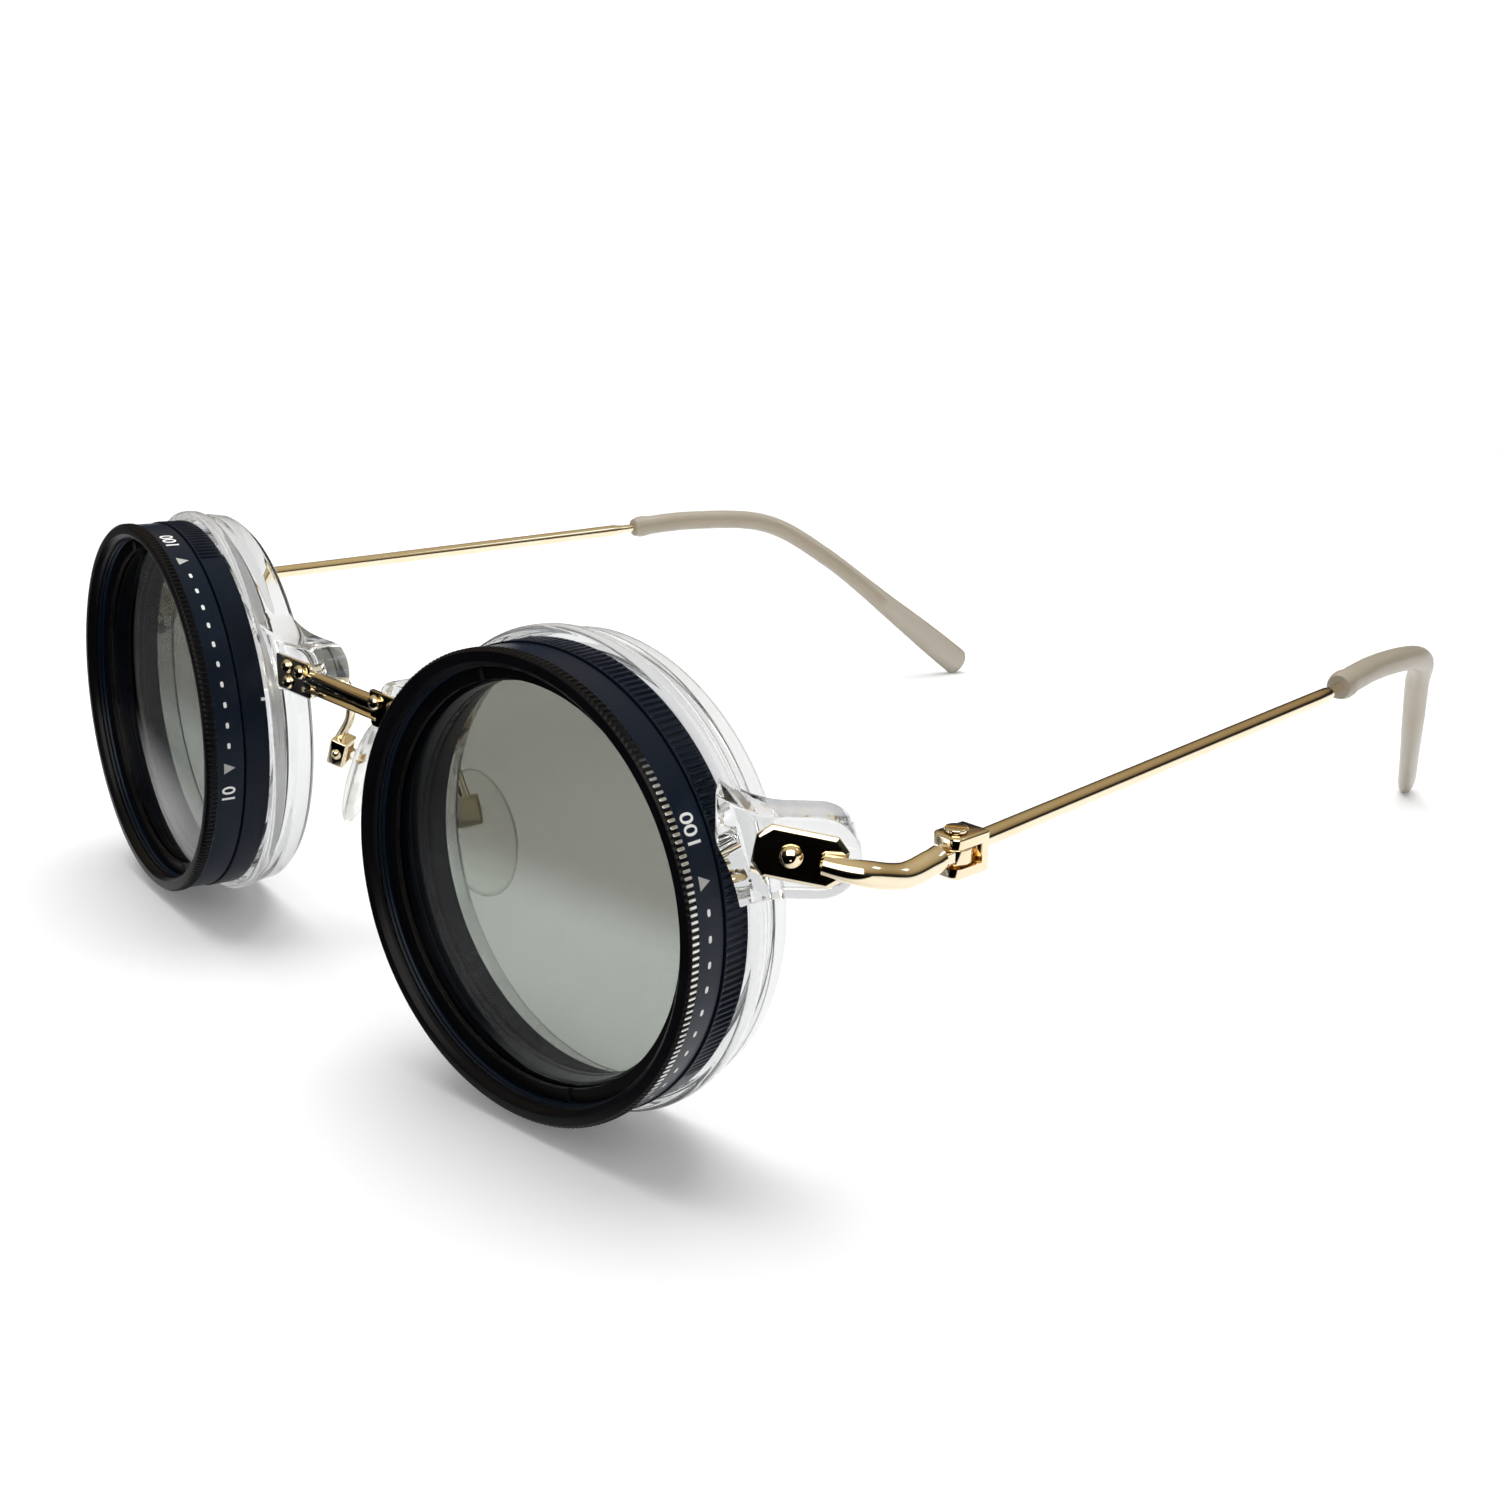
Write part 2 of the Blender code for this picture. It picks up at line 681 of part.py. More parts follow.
def front_filter(side, eye):
    """The turning filter of one eye: its ring, glass, retaining ring and stop pin."""
    turning = empty("turning_filter_" + side, eye)
    ring = turned("front_ring_" + side, [
        (ring_radius - lip_chamfer, 0.0),
        (ring_radius, lip_chamfer),
        (ring_radius, teeth_depth),
        (ring_radius - scale_step, teeth_depth + scale_step),
        (ring_radius - scale_step, front_ring_depth),
        (nose_radius, front_ring_depth),
        (nose_radius, snap_depth - snap_groove_half),
        (snap_inner - fit_gap, snap_depth - snap_groove_half),
        (snap_inner - fit_gap, snap_depth + snap_groove_half),
        (nose_radius, snap_depth + snap_groove_half),
        (nose_radius, nose_end),
        (opening_radius, nose_end),
        (opening_radius, front_seat_depth),
        (thread_radius, front_seat_depth),
        (thread_radius, mouth_chamfer),
        (thread_radius + mouth_chamfer, 0.0)], turning, anodised)

    pin_angle = slot_start + turn_at_rest[side]
    pin_place = Matrix.Translation((pin_circle * math.cos(pin_angle), pin_circle * math.sin(pin_angle), 0.0))
    pin_top = pin_seat - front_ring_depth
    pin_low = -rear_front - pin_reach
    pin = cylinder_mesh("stop_pin", pin_radius, pin_low, pin_top, rivet_steps)
    place("stop_pin_" + side, pin, turning, steel, pin_place)
    socket = cylinder_mesh("pin_socket", pin_radius + rest_gap, -front_ring_depth - fit_gap / 2,
                           pin_top + rest_gap, rivet_steps)
    boolean(ring, place_cutter("pin_socket_" + side, socket, turning, pin_place))

    glass = cylinder_mesh("front_glass", front_glass_radius, -front_glass_back, -front_glass_depth,
                          ring_steps)
    place("front_glass_" + side, glass, turning, tinted_glass)
    retainer = turned("front_retaining_ring_" + side, [
        (front_glass_radius, front_retainer_depth),
        (front_glass_radius, front_retainer_depth + retainer_thickness),
        (front_retainer_opening, front_retainer_depth + retainer_thickness),
        (front_retainer_opening, front_retainer_depth)], turning, anodised)
    slot_half = spanner_slot_width / 2
    slot_bar = box_mesh("spanner_slots",
                        (-ring_radius, -slot_half, -front_retainer_depth - spanner_slot_depth),
                        (ring_radius, slot_half, -front_retainer_depth + retainer_thickness))
    boolean(retainer, place_cutter("spanner_slots_" + side, slot_bar, turning,
                                   Matrix.Rotation(spanner_slot_angle, 4, "Z")))


def rear_filter(side, eye):
    """The fixed filter of one eye: its ring with the stop slot, glass, retaining, snap and mount rings."""
    ring = turned("rear_ring_" + side, [
        (ring_radius, rear_front),
        (ring_radius, rear_back),
        (thread_radius, rear_back),
        (thread_radius, thread_end),
        (rear_glass_bore, thread_end),
        (rear_glass_bore, rear_seat_depth),
        (opening_radius, rear_seat_depth),
        (opening_radius, nose_end + fit_gap),
        (rear_bore_radius, nose_end + fit_gap),
        (rear_bore_radius, snap_depth + snap_groove_half),
        (snap_outer + fit_gap, snap_depth + snap_groove_half),
        (snap_outer + fit_gap, snap_depth - snap_groove_half),
        (rear_bore_radius, snap_depth - snap_groove_half),
        (rear_bore_radius, rear_front)], eye, anodised)
    half_slot = pin_radius + fit_gap
    begin = slot_start - half_slot / pin_circle
    end = slot_start + tint_range + half_slot / pin_circle
    track = arc(0.0, 0.0, pin_circle + half_slot, begin, end, slot_steps)
    track += reversed(arc(0.0, 0.0, pin_circle - half_slot, begin, end, slot_steps))
    slot = outline_mesh("stop_slot", track, -rear_front - pin_reach - fit_gap, -rear_front + fit_gap)
    boolean(ring, place_cutter("stop_slot_" + side, slot, eye))

    glass = cylinder_mesh("rear_glass", rear_glass_radius, -rear_glass_depth - glass_thickness,
                          -rear_glass_depth, ring_steps)
    place("rear_glass_" + side, glass, eye, tinted_glass)
    turned("rear_retaining_ring_" + side, [
        (rear_glass_radius, rear_retainer_depth),
        (rear_glass_radius, rear_retainer_depth + retainer_thickness),
        (rear_retainer_opening, rear_retainer_depth + retainer_thickness),
        (rear_retainer_opening, rear_retainer_depth)], eye, anodised)
    snap = turned("snap_ring_" + side, [
        (snap_outer, snap_depth - snap_wire / 2),
        (snap_outer, snap_depth + snap_wire / 2),
        (snap_inner, snap_depth + snap_wire / 2),
        (snap_inner, snap_depth - snap_wire / 2)], eye, steel)
    gap = box_mesh("snap_opening", (-snap_opening / 2, 0.0, -snap_depth - snap_wire),
                   (snap_opening / 2, ring_radius, -snap_depth + snap_wire))
    boolean(snap, place_cutter("snap_opening_" + side, gap, eye, Matrix.Rotation(snap_opening_angle, 4, "Z")))
    turned("mount_ring_" + side, [
        (mount_outer, rim_front + rest_gap),
        (mount_outer, rim_front + mount_length),
        (mount_inner, rim_front + mount_length),
        (mount_inner, rim_front + rest_gap)], eye, anodised)


def rim_ring(eye):
    """The round part of the left rim, with the groove round it and the seat of the mount ring."""
    groove_front = rim_front + rim_front_layer
    groove_back = groove_front + rim_groove_width
    groove_radius = rim_radius - rim_groove_depth
    seat_radius = rim_bore - rim_seat_step
    return turned("rim_left", [
        (rim_radius - rim_edge, rim_front),
        (rim_radius, rim_front + rim_edge),
        (rim_radius, groove_front - rim_groove_flare / 2),
        (groove_radius, groove_front + rim_groove_flare),
        (groove_radius, groove_back - rim_groove_flare),
        (rim_back_radius, groove_back + rim_groove_flare),
        (rim_back_radius - rim_back_draft, rim_back - 2 * rim_edge),
        (rim_back_radius - 2 * rim_edge, rim_back),
        (seat_radius + rim_edge, rim_back),
        (seat_radius, rim_back - rim_edge),
        (seat_radius, rim_step),
        (rim_bore, rim_step),
        (rim_bore, rim_front)], eye, acetate)


def left_rim(eye):
    """The clear rim with its temple lug and nose lug, and the holes for what they carry."""
    rim = rim_ring(eye)
    outline = lug_outline(lug_root_half, lug_neck_half, lug_reach, -lug_root_back, lug_lobe_rise)
    lug = outline_mesh("temple_lug", outline, -lug_thickness, 0.0)
    lug = place_cutter("temple_lug", lug, front, lug_frame())
    root = nose_lug_root()
    nose_reach = root.x - nose_lug_tip
    nose_outline = lug_outline(nose_lug_root_half, nose_lug_neck_half, nose_reach, -nose_lug_root_back)
    nose_outline = [(-x, y) for x, y in reversed(nose_outline)]
    nose_lug = outline_mesh("nose_lug", nose_outline, -nose_lug_thickness, 0.0)
    nose_lug = place_cutter("nose_lug", nose_lug, front,
                            face_forward(Vector((root.x, nose_lug_front(), nose_lug_height))))
    for block in (lug, nose_lug):
        bevel(block, lug_edge)
        bore = cylinder_mesh("lug_bore", rim_bore + lug_weld, -rim_back - lug_thickness, lug_thickness,
                             ring_steps)
        boolean(block, place_cutter(block.name + "_bore", bore, eye))
        space = cylinder_mesh("filter_space", ring_radius + seat_gap, -rim_front - lug_weld, lug_thickness,
                              ring_steps)
        boolean(block, place_cutter(block.name + "_filter_space", space, eye))
        boolean(rim, block, "UNION")

    shaft_hole = cylinder_mesh("end_rivet_hole", rivet_shaft_radius + rest_gap, -rivet_length - rest_gap,
                               cut_past, rivet_steps)
    boolean(rim, place_cutter("end_rivet_hole", shaft_hole, front, end_rivet_matrix()))
    for which, where in bridge_rivet_places().items():
        hole = cylinder_mesh("bridge_rivet_hole", bridge_rivet_radius + rest_gap,
                             -bridge_rivet_length - rest_gap, cut_past, rivet_steps)
        boolean(rim, place_cutter("bridge_rivet_hole_" + which, hole, front, face_forward(where)))
    arm_line = pad_arm_path()[:3]
    socket = tube_mesh("pad_arm_socket", arm_line, [pad_arm_radius + rest_gap] * len(arm_line))
    boolean(rim, place_cutter("pad_arm_socket", socket, front))
    return rim


def chamfered_outline(length, height, chamfer):
    """A rectangle with cut corners, from x = 0 to its length."""
    half = height / 2
    return [(chamfer, -half), (length - chamfer, -half), (length, -half + chamfer), (length, half - chamfer),
            (length - chamfer, half), (chamfer, half), (0.0, half - chamfer), (0.0, -half + chamfer)]


def elbow_bar(hinge):
    """The bar that leaves the plate's rear end, bends back and meets the knuckle from in front."""
    frame = plate_frame()
    leave = frame @ Vector((plate_length - elbow_overlap, 0.0, elbow_radius * elbow_slim))
    turn_out = frame @ Vector((plate_length + elbow_radius, 0.0, elbow_radius))
    dip_y = (turn_out.y + hinge.y) / 2 - elbow_dip_forward
    dip = Vector((hinge.x - elbow_dip_in, dip_y, hinge.z - elbow_dip))
    arrive = Vector((hinge.x, hinge.y - fork_width, hinge.z - elbow_arrive_drop))
    fork_sweep = fork_corner + (fork_width / 2 - fork_corner) * math.sqrt(2.0) + fit_gap
    end = Vector((hinge.x, hinge.y - fork_sweep, hinge.z))
    path = spline_points([leave, turn_out, dip, arrive, end], elbow_steps)
    swell = [min(1.0, step / elbow_slim_steps) for step in range(len(path))]
    radii = [elbow_radius * (elbow_slim + (1.0 - elbow_slim) * share) for share in swell]
    return tube_mesh("elbow", path, radii), fork_sweep


def left_end_piece():
    """The hinge plate, the elbow bar and the hinge knuckle as one piece, with its rivet."""
    outline = chamfered_outline(plate_length, plate_height, plate_chamfer)
    plate = place("end_piece_left", outline_mesh("end_piece", outline, 0.0, plate_thickness), front, gold,
                  plate_frame())
    hinge = hinge_place()
    at_hinge = Matrix.Translation(hinge)
    elbow, fork_sweep = elbow_bar(hinge)
    knuckle_half = fork_height / 2 - fork_leaf - fit_gap
    tang_half = tang_width / 2
    tang_high = knuckle_half - rest_gap
    tang = box_mesh("tang", (-tang_half, -fork_sweep - tang_half / 2, -tang_high),
                    (tang_half, knuckle_radius / 3, tang_high))
    knuckle = cylinder_mesh("knuckle", knuckle_radius, -knuckle_half, knuckle_half, knuckle_steps)
    boolean(plate, place_cutter("elbow", elbow, front), "UNION")
    boolean(plate, place_cutter("tang", tang, front, at_hinge), "UNION")
    turned_knuckle = at_hinge @ Matrix.Rotation(knuckle_turn, 4, "Z")
    boolean(plate, place_cutter("knuckle", knuckle, front, turned_knuckle), "UNION")
    screw_hole = cylinder_mesh("knuckle_hole", hinge_screw_radius + rest_gap, -fork_height, fork_height,
                               screw_steps)
    boolean(plate, place_cutter("knuckle_hole", screw_hole, front, at_hinge))
    plate_hole = cylinder_mesh("plate_rivet_hole", rivet_shaft_radius + rest_gap, 0.0,
                               seat_gap + plate_thickness + cut_past, rivet_steps)
    boolean(plate, place_cutter("plate_rivet_hole", plate_hole, front, end_rivet_matrix()))

    head_low = seat_gap + plate_thickness + rest_gap
    rivet_shape = rivet_mesh("end_piece_rivet", rivet_shaft_radius, rivet_head_radius, -rivet_length,
                             head_low)
    rivet = place("end_piece_rivet_left", rivet_shape, front, gold, end_rivet_matrix())
    return [plate, rivet]


def fork_shape():
    """The temple's hinge fork before its slot is cut, round in front so that it can swing."""
    half = fork_width / 2
    turn = half - fork_corner
    back = knuckle_radius + fit_gap + fork_web
    outline = arc(-turn, -turn, fork_corner, -math.pi, -math.pi / 2, corner_steps)
    outline += arc(turn, -turn, fork_corner, -math.pi / 2, 0.0, corner_steps)
    outline += [(half, back), (-half, back)]
    return outline_mesh("fork", outline, -fork_height / 2, fork_height / 2)


def left_temple_arm(hinge, rod_start, sleeve_line, core_line):
    """The temple's fork, rod and core wire as one piece."""
    straight = [rod_start.lerp(sleeve_line[0], step / rod_steps) for step in range(rod_steps + 1)]
    core_start = sleeve_line[0].lerp(sleeve_line[1], core_start_share)
    path = straight + [core_start] + core_line[1:]
    radii = [rod_radius] * len(straight) + [core_radius] * len(core_line)
    arm = place("temple_arm_left", tube_mesh("temple_arm", path, radii), hinge, gold)
    fork = place_cutter("fork", fork_shape(), hinge)
    bevel(fork, block_edge)
    boolean(arm, fork, "UNION")
    slot_half = fork_height / 2 - fork_leaf
    room = box_mesh("knuckle_room", (-fork_width, -fork_width, -slot_half),
                    (fork_width, knuckle_radius + fit_gap, slot_half))
    boolean(arm, place_cutter("knuckle_room", room, hinge))
    hole = cylinder_mesh("hinge_screw_hole", hinge_screw_radius + rest_gap, -fork_height, fork_height,
                         screw_steps)
    boolean(arm, place_cutter("hinge_screw_hole", hole, hinge))
    return arm


def left_sleeve(hinge, sleeve_line, core_line):
    """The temple tip: a round sleeve with a collar that flattens into a paddle, bored for the core wire."""
    points = sleeve_line[1:]
    last = len(points) - 1
    half_widths = []
    half_heights = []
    for number in range(last + 1):
        swell = max(0.0, (number / last - paddle_start) / (1.0 - paddle_start))
        bulge = math.sin(math.pi / 2 * swell) ** 2
        round_half = sleeve_radius * (sleeve_mouth_share if number == 0 else 1.0)
        collar = sleeve_collar if number == 1 else 0.0
        half_widths.append(round_half + (paddle_half_thickness - sleeve_radius) * bulge + collar)
        half_heights.append(round_half + (paddle_half_width - sleeve_radius) * bulge + collar)
    direction = (points[-1] - points[-2]).normalized()
    for reach, share in paddle_end_steps:
        points.append(points[-1] + direction * paddle_half_width * reach)
        half_widths.append(half_widths[last] * share)
        half_heights.append(half_heights[last] * share)
    sleeve = place("temple_tip_left", loft_mesh("temple_tip", points, half_widths, half_heights), hinge,
                   sleeve_plastic)
    bore_end = core_line[-1] + (core_line[-1] - core_line[-2]).normalized() * fit_gap * 2
    bore_line = core_line + [bore_end]
    bore = tube_mesh("core_bore", bore_line, [core_radius + fit_gap] * len(bore_line))
    boolean(sleeve, place_cutter("core_bore", bore, hinge))
    return sleeve


def left_temple(hinge):
    """The temple arm, the sleeve on its end and the hinge screw."""
    rod_start, line = temple_path()
    sleeve_line = spline_points(line, sleeve_steps)
    core_line = [point for point in sleeve_line if (point - line[-1]).length > core_stop_back]
    arm = left_temple_arm(hinge, rod_start, sleeve_line, core_line)
    sleeve = left_sleeve(hinge, sleeve_line, core_line)
    screw_shape = screw_mesh("hinge_screw", hinge_screw_radius, hinge_head_radius, -fork_height / 2,
                             fork_height / 2 + rest_gap, hinge_head_height)
    screw = place("hinge_screw_left", screw_shape, hinge, gold)
    return [arm, sleeve, screw]


def bridge_pieces():
    """The bridge bar with a plate at each end, and its rivets."""
    plate_back = nose_lug_front() - seat_gap
    plate_front = plate_back - bridge_plate_thickness
    half_bar = bar_height / 2
    half_plate = bridge_plate_height / 2
    bar_end = bridge_plate_inner + bar_overlap
    bar = box_mesh("bridge", (-bar_end, plate_front - bar_forward, bridge_height - half_bar),
                   (bar_end, plate_front + bar_thickness, bridge_height + half_bar))
    bridge = place("bridge", bar, front, gold)
    bevel(bridge, bar_edge, 3)
    for side, sign in (("left", 1.0), ("right", -1.0)):
        plate_xs = sorted((sign * bridge_plate_inner, sign * (bridge_plate_inner + bridge_plate_length)))
        plate = box_mesh("bridge_plate", (plate_xs[0], plate_front, bridge_height - half_plate),
                         (plate_xs[1], plate_back, bridge_height + half_plate))
        plate = place_cutter("bridge_plate_" + side, plate, front)
        bevel(plate, bridge_plate_edge, 1)
        boolean(bridge, plate, "UNION")
        room_xs = sorted((sign * (nose_lug_tip - seat_gap), sign * lens_spacing / 2))
        room = box_mesh("lug_room", (room_xs[0], plate_back, 0.0),
                        (room_xs[1], plate_back + nose_lug_thickness, 2 * nose_lug_height))
        boolean(bridge, place_cutter("lug_room_" + side, room, front))
        for which, where in bridge_rivet_places().items():
            where.x *= sign
            at_rivet = face_forward(where)
            hole_radius = bridge_rivet_radius + rest_gap
            hole = cylinder_mesh("bridge_hole", hole_radius, -cut_past, cut_past, rivet_steps)
            boolean(bridge, place_cutter(f"bridge_hole_{which}_{side}", hole, front, at_rivet))
            head_low = rest_gap + (bar_rivet_lift if which == "inner" else 0.0)
            shape = rivet_mesh("bridge_rivet", bridge_rivet_radius, bridge_rivet_head, -bridge_rivet_length,
                               head_low)
            place(f"bridge_rivet_{which}_{side}", shape, front, gold, at_rivet)


def left_pad_arm():
    """The pad arm with its box, open towards the nose, and the pad screw across it."""
    path = pad_arm_path()
    arm = place("pad_arm_left", tube_mesh("pad_arm", path, [pad_arm_radius] * len(path)), front, gold)
    frame = pad_frame()
    half_w = pad_box_width / 2
    half_h = pad_box_height / 2
    half_d = pad_box_depth / 2
    box = place_cutter("pad_box", box_mesh("pad_box", (-half_w, -half_h, -half_d), (half_w, half_h, half_d)),
                       front, frame)
    bevel(box, block_edge)
    boolean(arm, box, "UNION")
    pocket = box_mesh("pad_pocket",
                      (pad_box_wall - half_w, pad_box_wall - half_h, pad_box_wall - half_d),
                      (half_w - pad_box_wall, half_h - pad_box_wall, half_d + cut_past))
    boolean(arm, place_cutter("pad_pocket", pocket, front, frame))
    sideways = frame @ Matrix.Rotation(math.pi / 2, 4, "Y")
    screw_room = cylinder_mesh("pad_screw_room", pad_screw_radius + rest_gap, -half_w - cut_past,
                               half_w + cut_past, rivet_steps)
    boolean(arm, place_cutter("pad_screw_room", screw_room, front, sideways))
    screw_shape = screw_mesh("pad_screw", pad_screw_radius, pad_screw_head, -half_w, half_w + rest_gap,
                             pad_screw_head_height)
    screw = place("pad_screw_left", screw_shape, front, gold, sideways)
    return [arm, screw]


def left_nose_pad(pivot):
    """The clear pad, an oval cushion with a tab that sits in the arm's box on the pad screw."""
    mesh = bpy.data.meshes.new("nose_pad")
    shape = bmesh.new()
    centre = Matrix.Translation((-pad_off_centre, -pad_below_box, pad_behind_box))
    size = Matrix.Diagonal((pad_width, pad_length, pad_thickness, 1.0))
    bmesh.ops.create_uvsphere(shape, u_segments=pad_steps, v_segments=pad_rings, radius=0.5,
                              matrix=centre @ size)
    pad = place("nose_pad_left", finish_mesh(shape, mesh), pivot, silicone)
    half_w = pad_box_width / 2 - pad_box_wall - pad_tab_gap
    half_h = pad_box_height / 2 - pad_box_wall - pad_tab_swing
    tab_low = pad_box_wall - pad_box_depth / 2 + pad_tab_gap
    tab = box_mesh("pad_tab", (-half_w, -half_h, tab_low), (half_w, half_h, pad_behind_box))
    boolean(pad, place_cutter("pad_tab", tab, pivot), "UNION")
    hole = cylinder_mesh("tab_hole", pad_screw_radius + rest_gap, -pad_box_width / 2, pad_box_width / 2,
                         rivet_steps)
    boolean(pad, place_cutter("tab_hole", hole, pivot, Matrix.Rotation(math.pi / 2, 4, "Y")))
    return pad


def joint_frame(name, where, side):
    """An empty on a joint's axis, its axes those of the front, on the left or mirrored to the right."""
    sign = 1.0 if side == "left" else -1.0
    return empty(name, front, Matrix.Translation((sign * where.x, where.y, where.z)))


def stand_on_origin():
    """Move the whole front so that the bottom centre of the part's bounding box is at the origin."""
    bpy.context.view_layer.update()
    graph = bpy.context.evaluated_depsgraph_get()
    low = Vector((math.inf,) * 3)
    high = Vector((-math.inf,) * 3)
    for piece in parts.objects:
        if piece.type != "MESH":
            continue
        solid = piece.evaluated_get(graph)
        for vertex in solid.data.vertices:
            where = solid.matrix_world @ vertex.co
            low = Vector(map(min, low, where))
            high = Vector(map(max, high, where))
    middle = (low + high) / 2
    front.location -= Vector((middle.x, middle.y, low.z))


eyes = {side: empty("eye_" + side, front, eye_matrix(side)) for side in ("left", "right")}
for eye_side, eye_empty in eyes.items():
    front_filter(eye_side, eye_empty)
    rear_filter(eye_side, eye_empty)
temple_left = joint_frame("temple_left_hinge", hinge_place(), "left")
temple_right = joint_frame("temple_right_hinge", hinge_place(), "right")
pad_left = empty("nose_pad_left_pivot", front, pad_frame())
pad_right = joint_frame("nose_pad_right_pivot", pad_frame().translation, "right")
fixed_pieces = [left_rim(eyes["left"])] + left_end_piece() + left_pad_arm()
temple_pieces = left_temple(temple_left)
pad_piece = left_nose_pad(pad_left)
bridge_pieces()
bpy.context.view_layer.update()
for left_piece in fixed_pieces:
    mirror_piece(left_piece, left_piece.name.replace("left", "right"), front)
for left_piece in temple_pieces:
    mirror_piece(left_piece, left_piece.name.replace("left", "right"), temple_right)
mirror_piece(pad_piece, "nose_pad_right", pad_right)
stand_on_origin()
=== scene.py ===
"""Looks of the variable tint sunglasses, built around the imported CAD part.

Metres, +Z up, +X is the wearer's left. The left half of the frame is built and mirrored to the right.
"""
import json
from math import cos, pi, radians, sin, sqrt

import bmesh
import bpy
from mathutils import Matrix, Vector


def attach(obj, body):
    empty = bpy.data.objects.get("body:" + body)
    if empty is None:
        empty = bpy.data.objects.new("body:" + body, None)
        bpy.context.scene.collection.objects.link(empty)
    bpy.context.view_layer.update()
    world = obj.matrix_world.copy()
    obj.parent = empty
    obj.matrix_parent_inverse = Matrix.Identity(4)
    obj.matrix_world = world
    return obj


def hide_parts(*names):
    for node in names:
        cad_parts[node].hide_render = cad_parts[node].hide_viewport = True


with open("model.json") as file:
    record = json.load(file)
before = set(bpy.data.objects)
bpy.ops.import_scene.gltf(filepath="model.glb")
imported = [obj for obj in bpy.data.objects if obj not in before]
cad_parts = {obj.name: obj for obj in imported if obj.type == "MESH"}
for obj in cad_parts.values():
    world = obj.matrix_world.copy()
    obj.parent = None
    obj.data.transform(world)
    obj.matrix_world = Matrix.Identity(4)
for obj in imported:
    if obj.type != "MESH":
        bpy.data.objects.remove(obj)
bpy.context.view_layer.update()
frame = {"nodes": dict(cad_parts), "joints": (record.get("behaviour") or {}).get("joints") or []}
scene = bpy.context.scene
mm = 0.001
side_sign = {"left": 1.0, "right": -1.0}

# Eye layout, as in the CAD
lens_wrap = radians(6.3)
lens_lean = radians(1.9)
joint_at = {joint["name"]: Vector(joint["pos_m"]) for joint in frame["joints"]}
eye_at = {side: joint_at["tint_turn_" + side] for side in side_sign}
front_at = (eye_at["left"] + eye_at["right"]) / 2
lens_spacing = eye_at["left"].x - eye_at["right"].x

# Facets of rings, round bars, small turned pieces, arcs and bevels
ring_steps = 256
bar_sides = 28
small_steps = 40
dome_steps = 12
screw_arc_steps = 6
mark_arc_steps = 6
fork_arc_steps = 10
bevel_steps = 4
fine_bevel_steps = 3

# Welding, the angles from which an edge stays sharp or is bevelled, and a corner's largest share of an edge
weld_reach = 0.0005 * mm
sharp_angle = radians(35.0)
profile_sharp_angle = radians(30.0)
plate_sharp_angle = radians(5.0)
bevel_angle = radians(40.0)
plate_bevel_angle = radians(12.0)
bar_bevel_angle = radians(60.0)
corner_share = 0.45

# Clearances, as in the CAD
fit_gap = 0.15 * mm
rest_gap = 0.1 * mm
seat_gap = 0.3 * mm
cut_past = 2.0 * mm
edge_round = 0.07 * mm

# Filter rings
ring_radius = 20.0 * mm
thread_radius = 18.5 * mm
opening_radius = 16.9 * mm
nose_radius = 17.95 * mm
glass_thickness = 0.8 * mm
glass_edge = 0.1 * mm
retainer_thickness = 0.5 * mm
front_ring_depth = 3.8 * mm
lip_chamfer = 0.3 * mm
mouth_chamfer = 0.4 * mm
teeth_depth = 0.95 * mm
scale_step = 0.15 * mm
front_glass_depth = 2.45 * mm
front_glass_radius = 18.35 * mm
front_retainer_opening = 17.2 * mm
nose_end = 4.9 * mm
spanner_slot_angle = radians(107.0)
spanner_slot_width = 0.9 * mm
spanner_slot_depth = 0.25 * mm
rear_front = 3.95 * mm
rear_back = 6.45 * mm
rear_bore_radius = 18.1 * mm
rear_flange = 0.5 * mm
rear_glass_bore = 17.85 * mm
rear_glass_radius = 17.7 * mm
rear_retainer_opening = 17.1 * mm
thread_end = 8.9 * mm
mount_inner = 18.65 * mm
mount_outer = 19.1 * mm
mount_length = 1.6 * mm

# Teeth round the lip and the knurled sector behind them. The second half of a tooth's facets is its valley.
# The knurl starts and is whole this many margins in from the ring's edges.
tooth_facets = 4
tooth_count = 224
tooth_relief = 0.13 * mm
tooth_chamfer_share = 0.7
# How far out on the temple side the tooth tops turn bright bare metal: partly wear, partly a painted
# highlight where the teeth glint
wear_and_glint_reach = (0.68 * ring_radius, 0.86 * ring_radius)
knurl_count = 203
knurl_relief = 0.2 * mm
knurl_margin = 0.22 * mm
knurl_fade = (0.5, 1.5)
knurl_start = radians(-38.0)
knurl_end = radians(118.0)

# Threads in the mouth. A groove's floor starts and ends at these shares of the pitch.
mouth_thread_start = 0.12 * mm
mouth_thread_pitch = 0.42 * mm
mouth_thread_depth = 0.14 * mm
mouth_thread_floor = (0.35, 0.5)
mouth_thread_turns = 3

# Tint scale on the front ring
scale_depth = 2.3 * mm
tint_at_rest = {"left": 0.0, "right": radians(47.0)}
first_mark = radians(15.9)
mark_margin = radians(6.8)
mark_pitch = radians(6.0)
mark_count = 10
mark_length = 0.6 * mm
mark_width = 0.32 * mm
triangle_size = 1.15 * mm
label_gaps = (radians(11.6), radians(8.5))
label_texts = ("100", "10")
label_height = 1.9 * mm
label_weight = 0.012
ink_thickness = 0.012 * mm
index_angle = radians(14.5)
index_length = 0.45 * mm
index_land = radians(0.8)

# Clear rim
rim_radius = 20.95 * mm
rim_back_radius = 20.5 * mm
rim_bore = 19.25 * mm
rim_seat_radius = 18.75 * mm
rim_front = 6.6 * mm
rim_back = 11.3 * mm
rim_step = 8.35 * mm
rim_front_layer = 1.25 * mm
rim_groove_width = 1.1 * mm
rim_groove_depth = 0.9 * mm
rim_groove_flare = 0.2 * mm
rim_back_draft = 0.15 * mm
rim_edge = 0.35 * mm
rim_round = 0.2 * mm

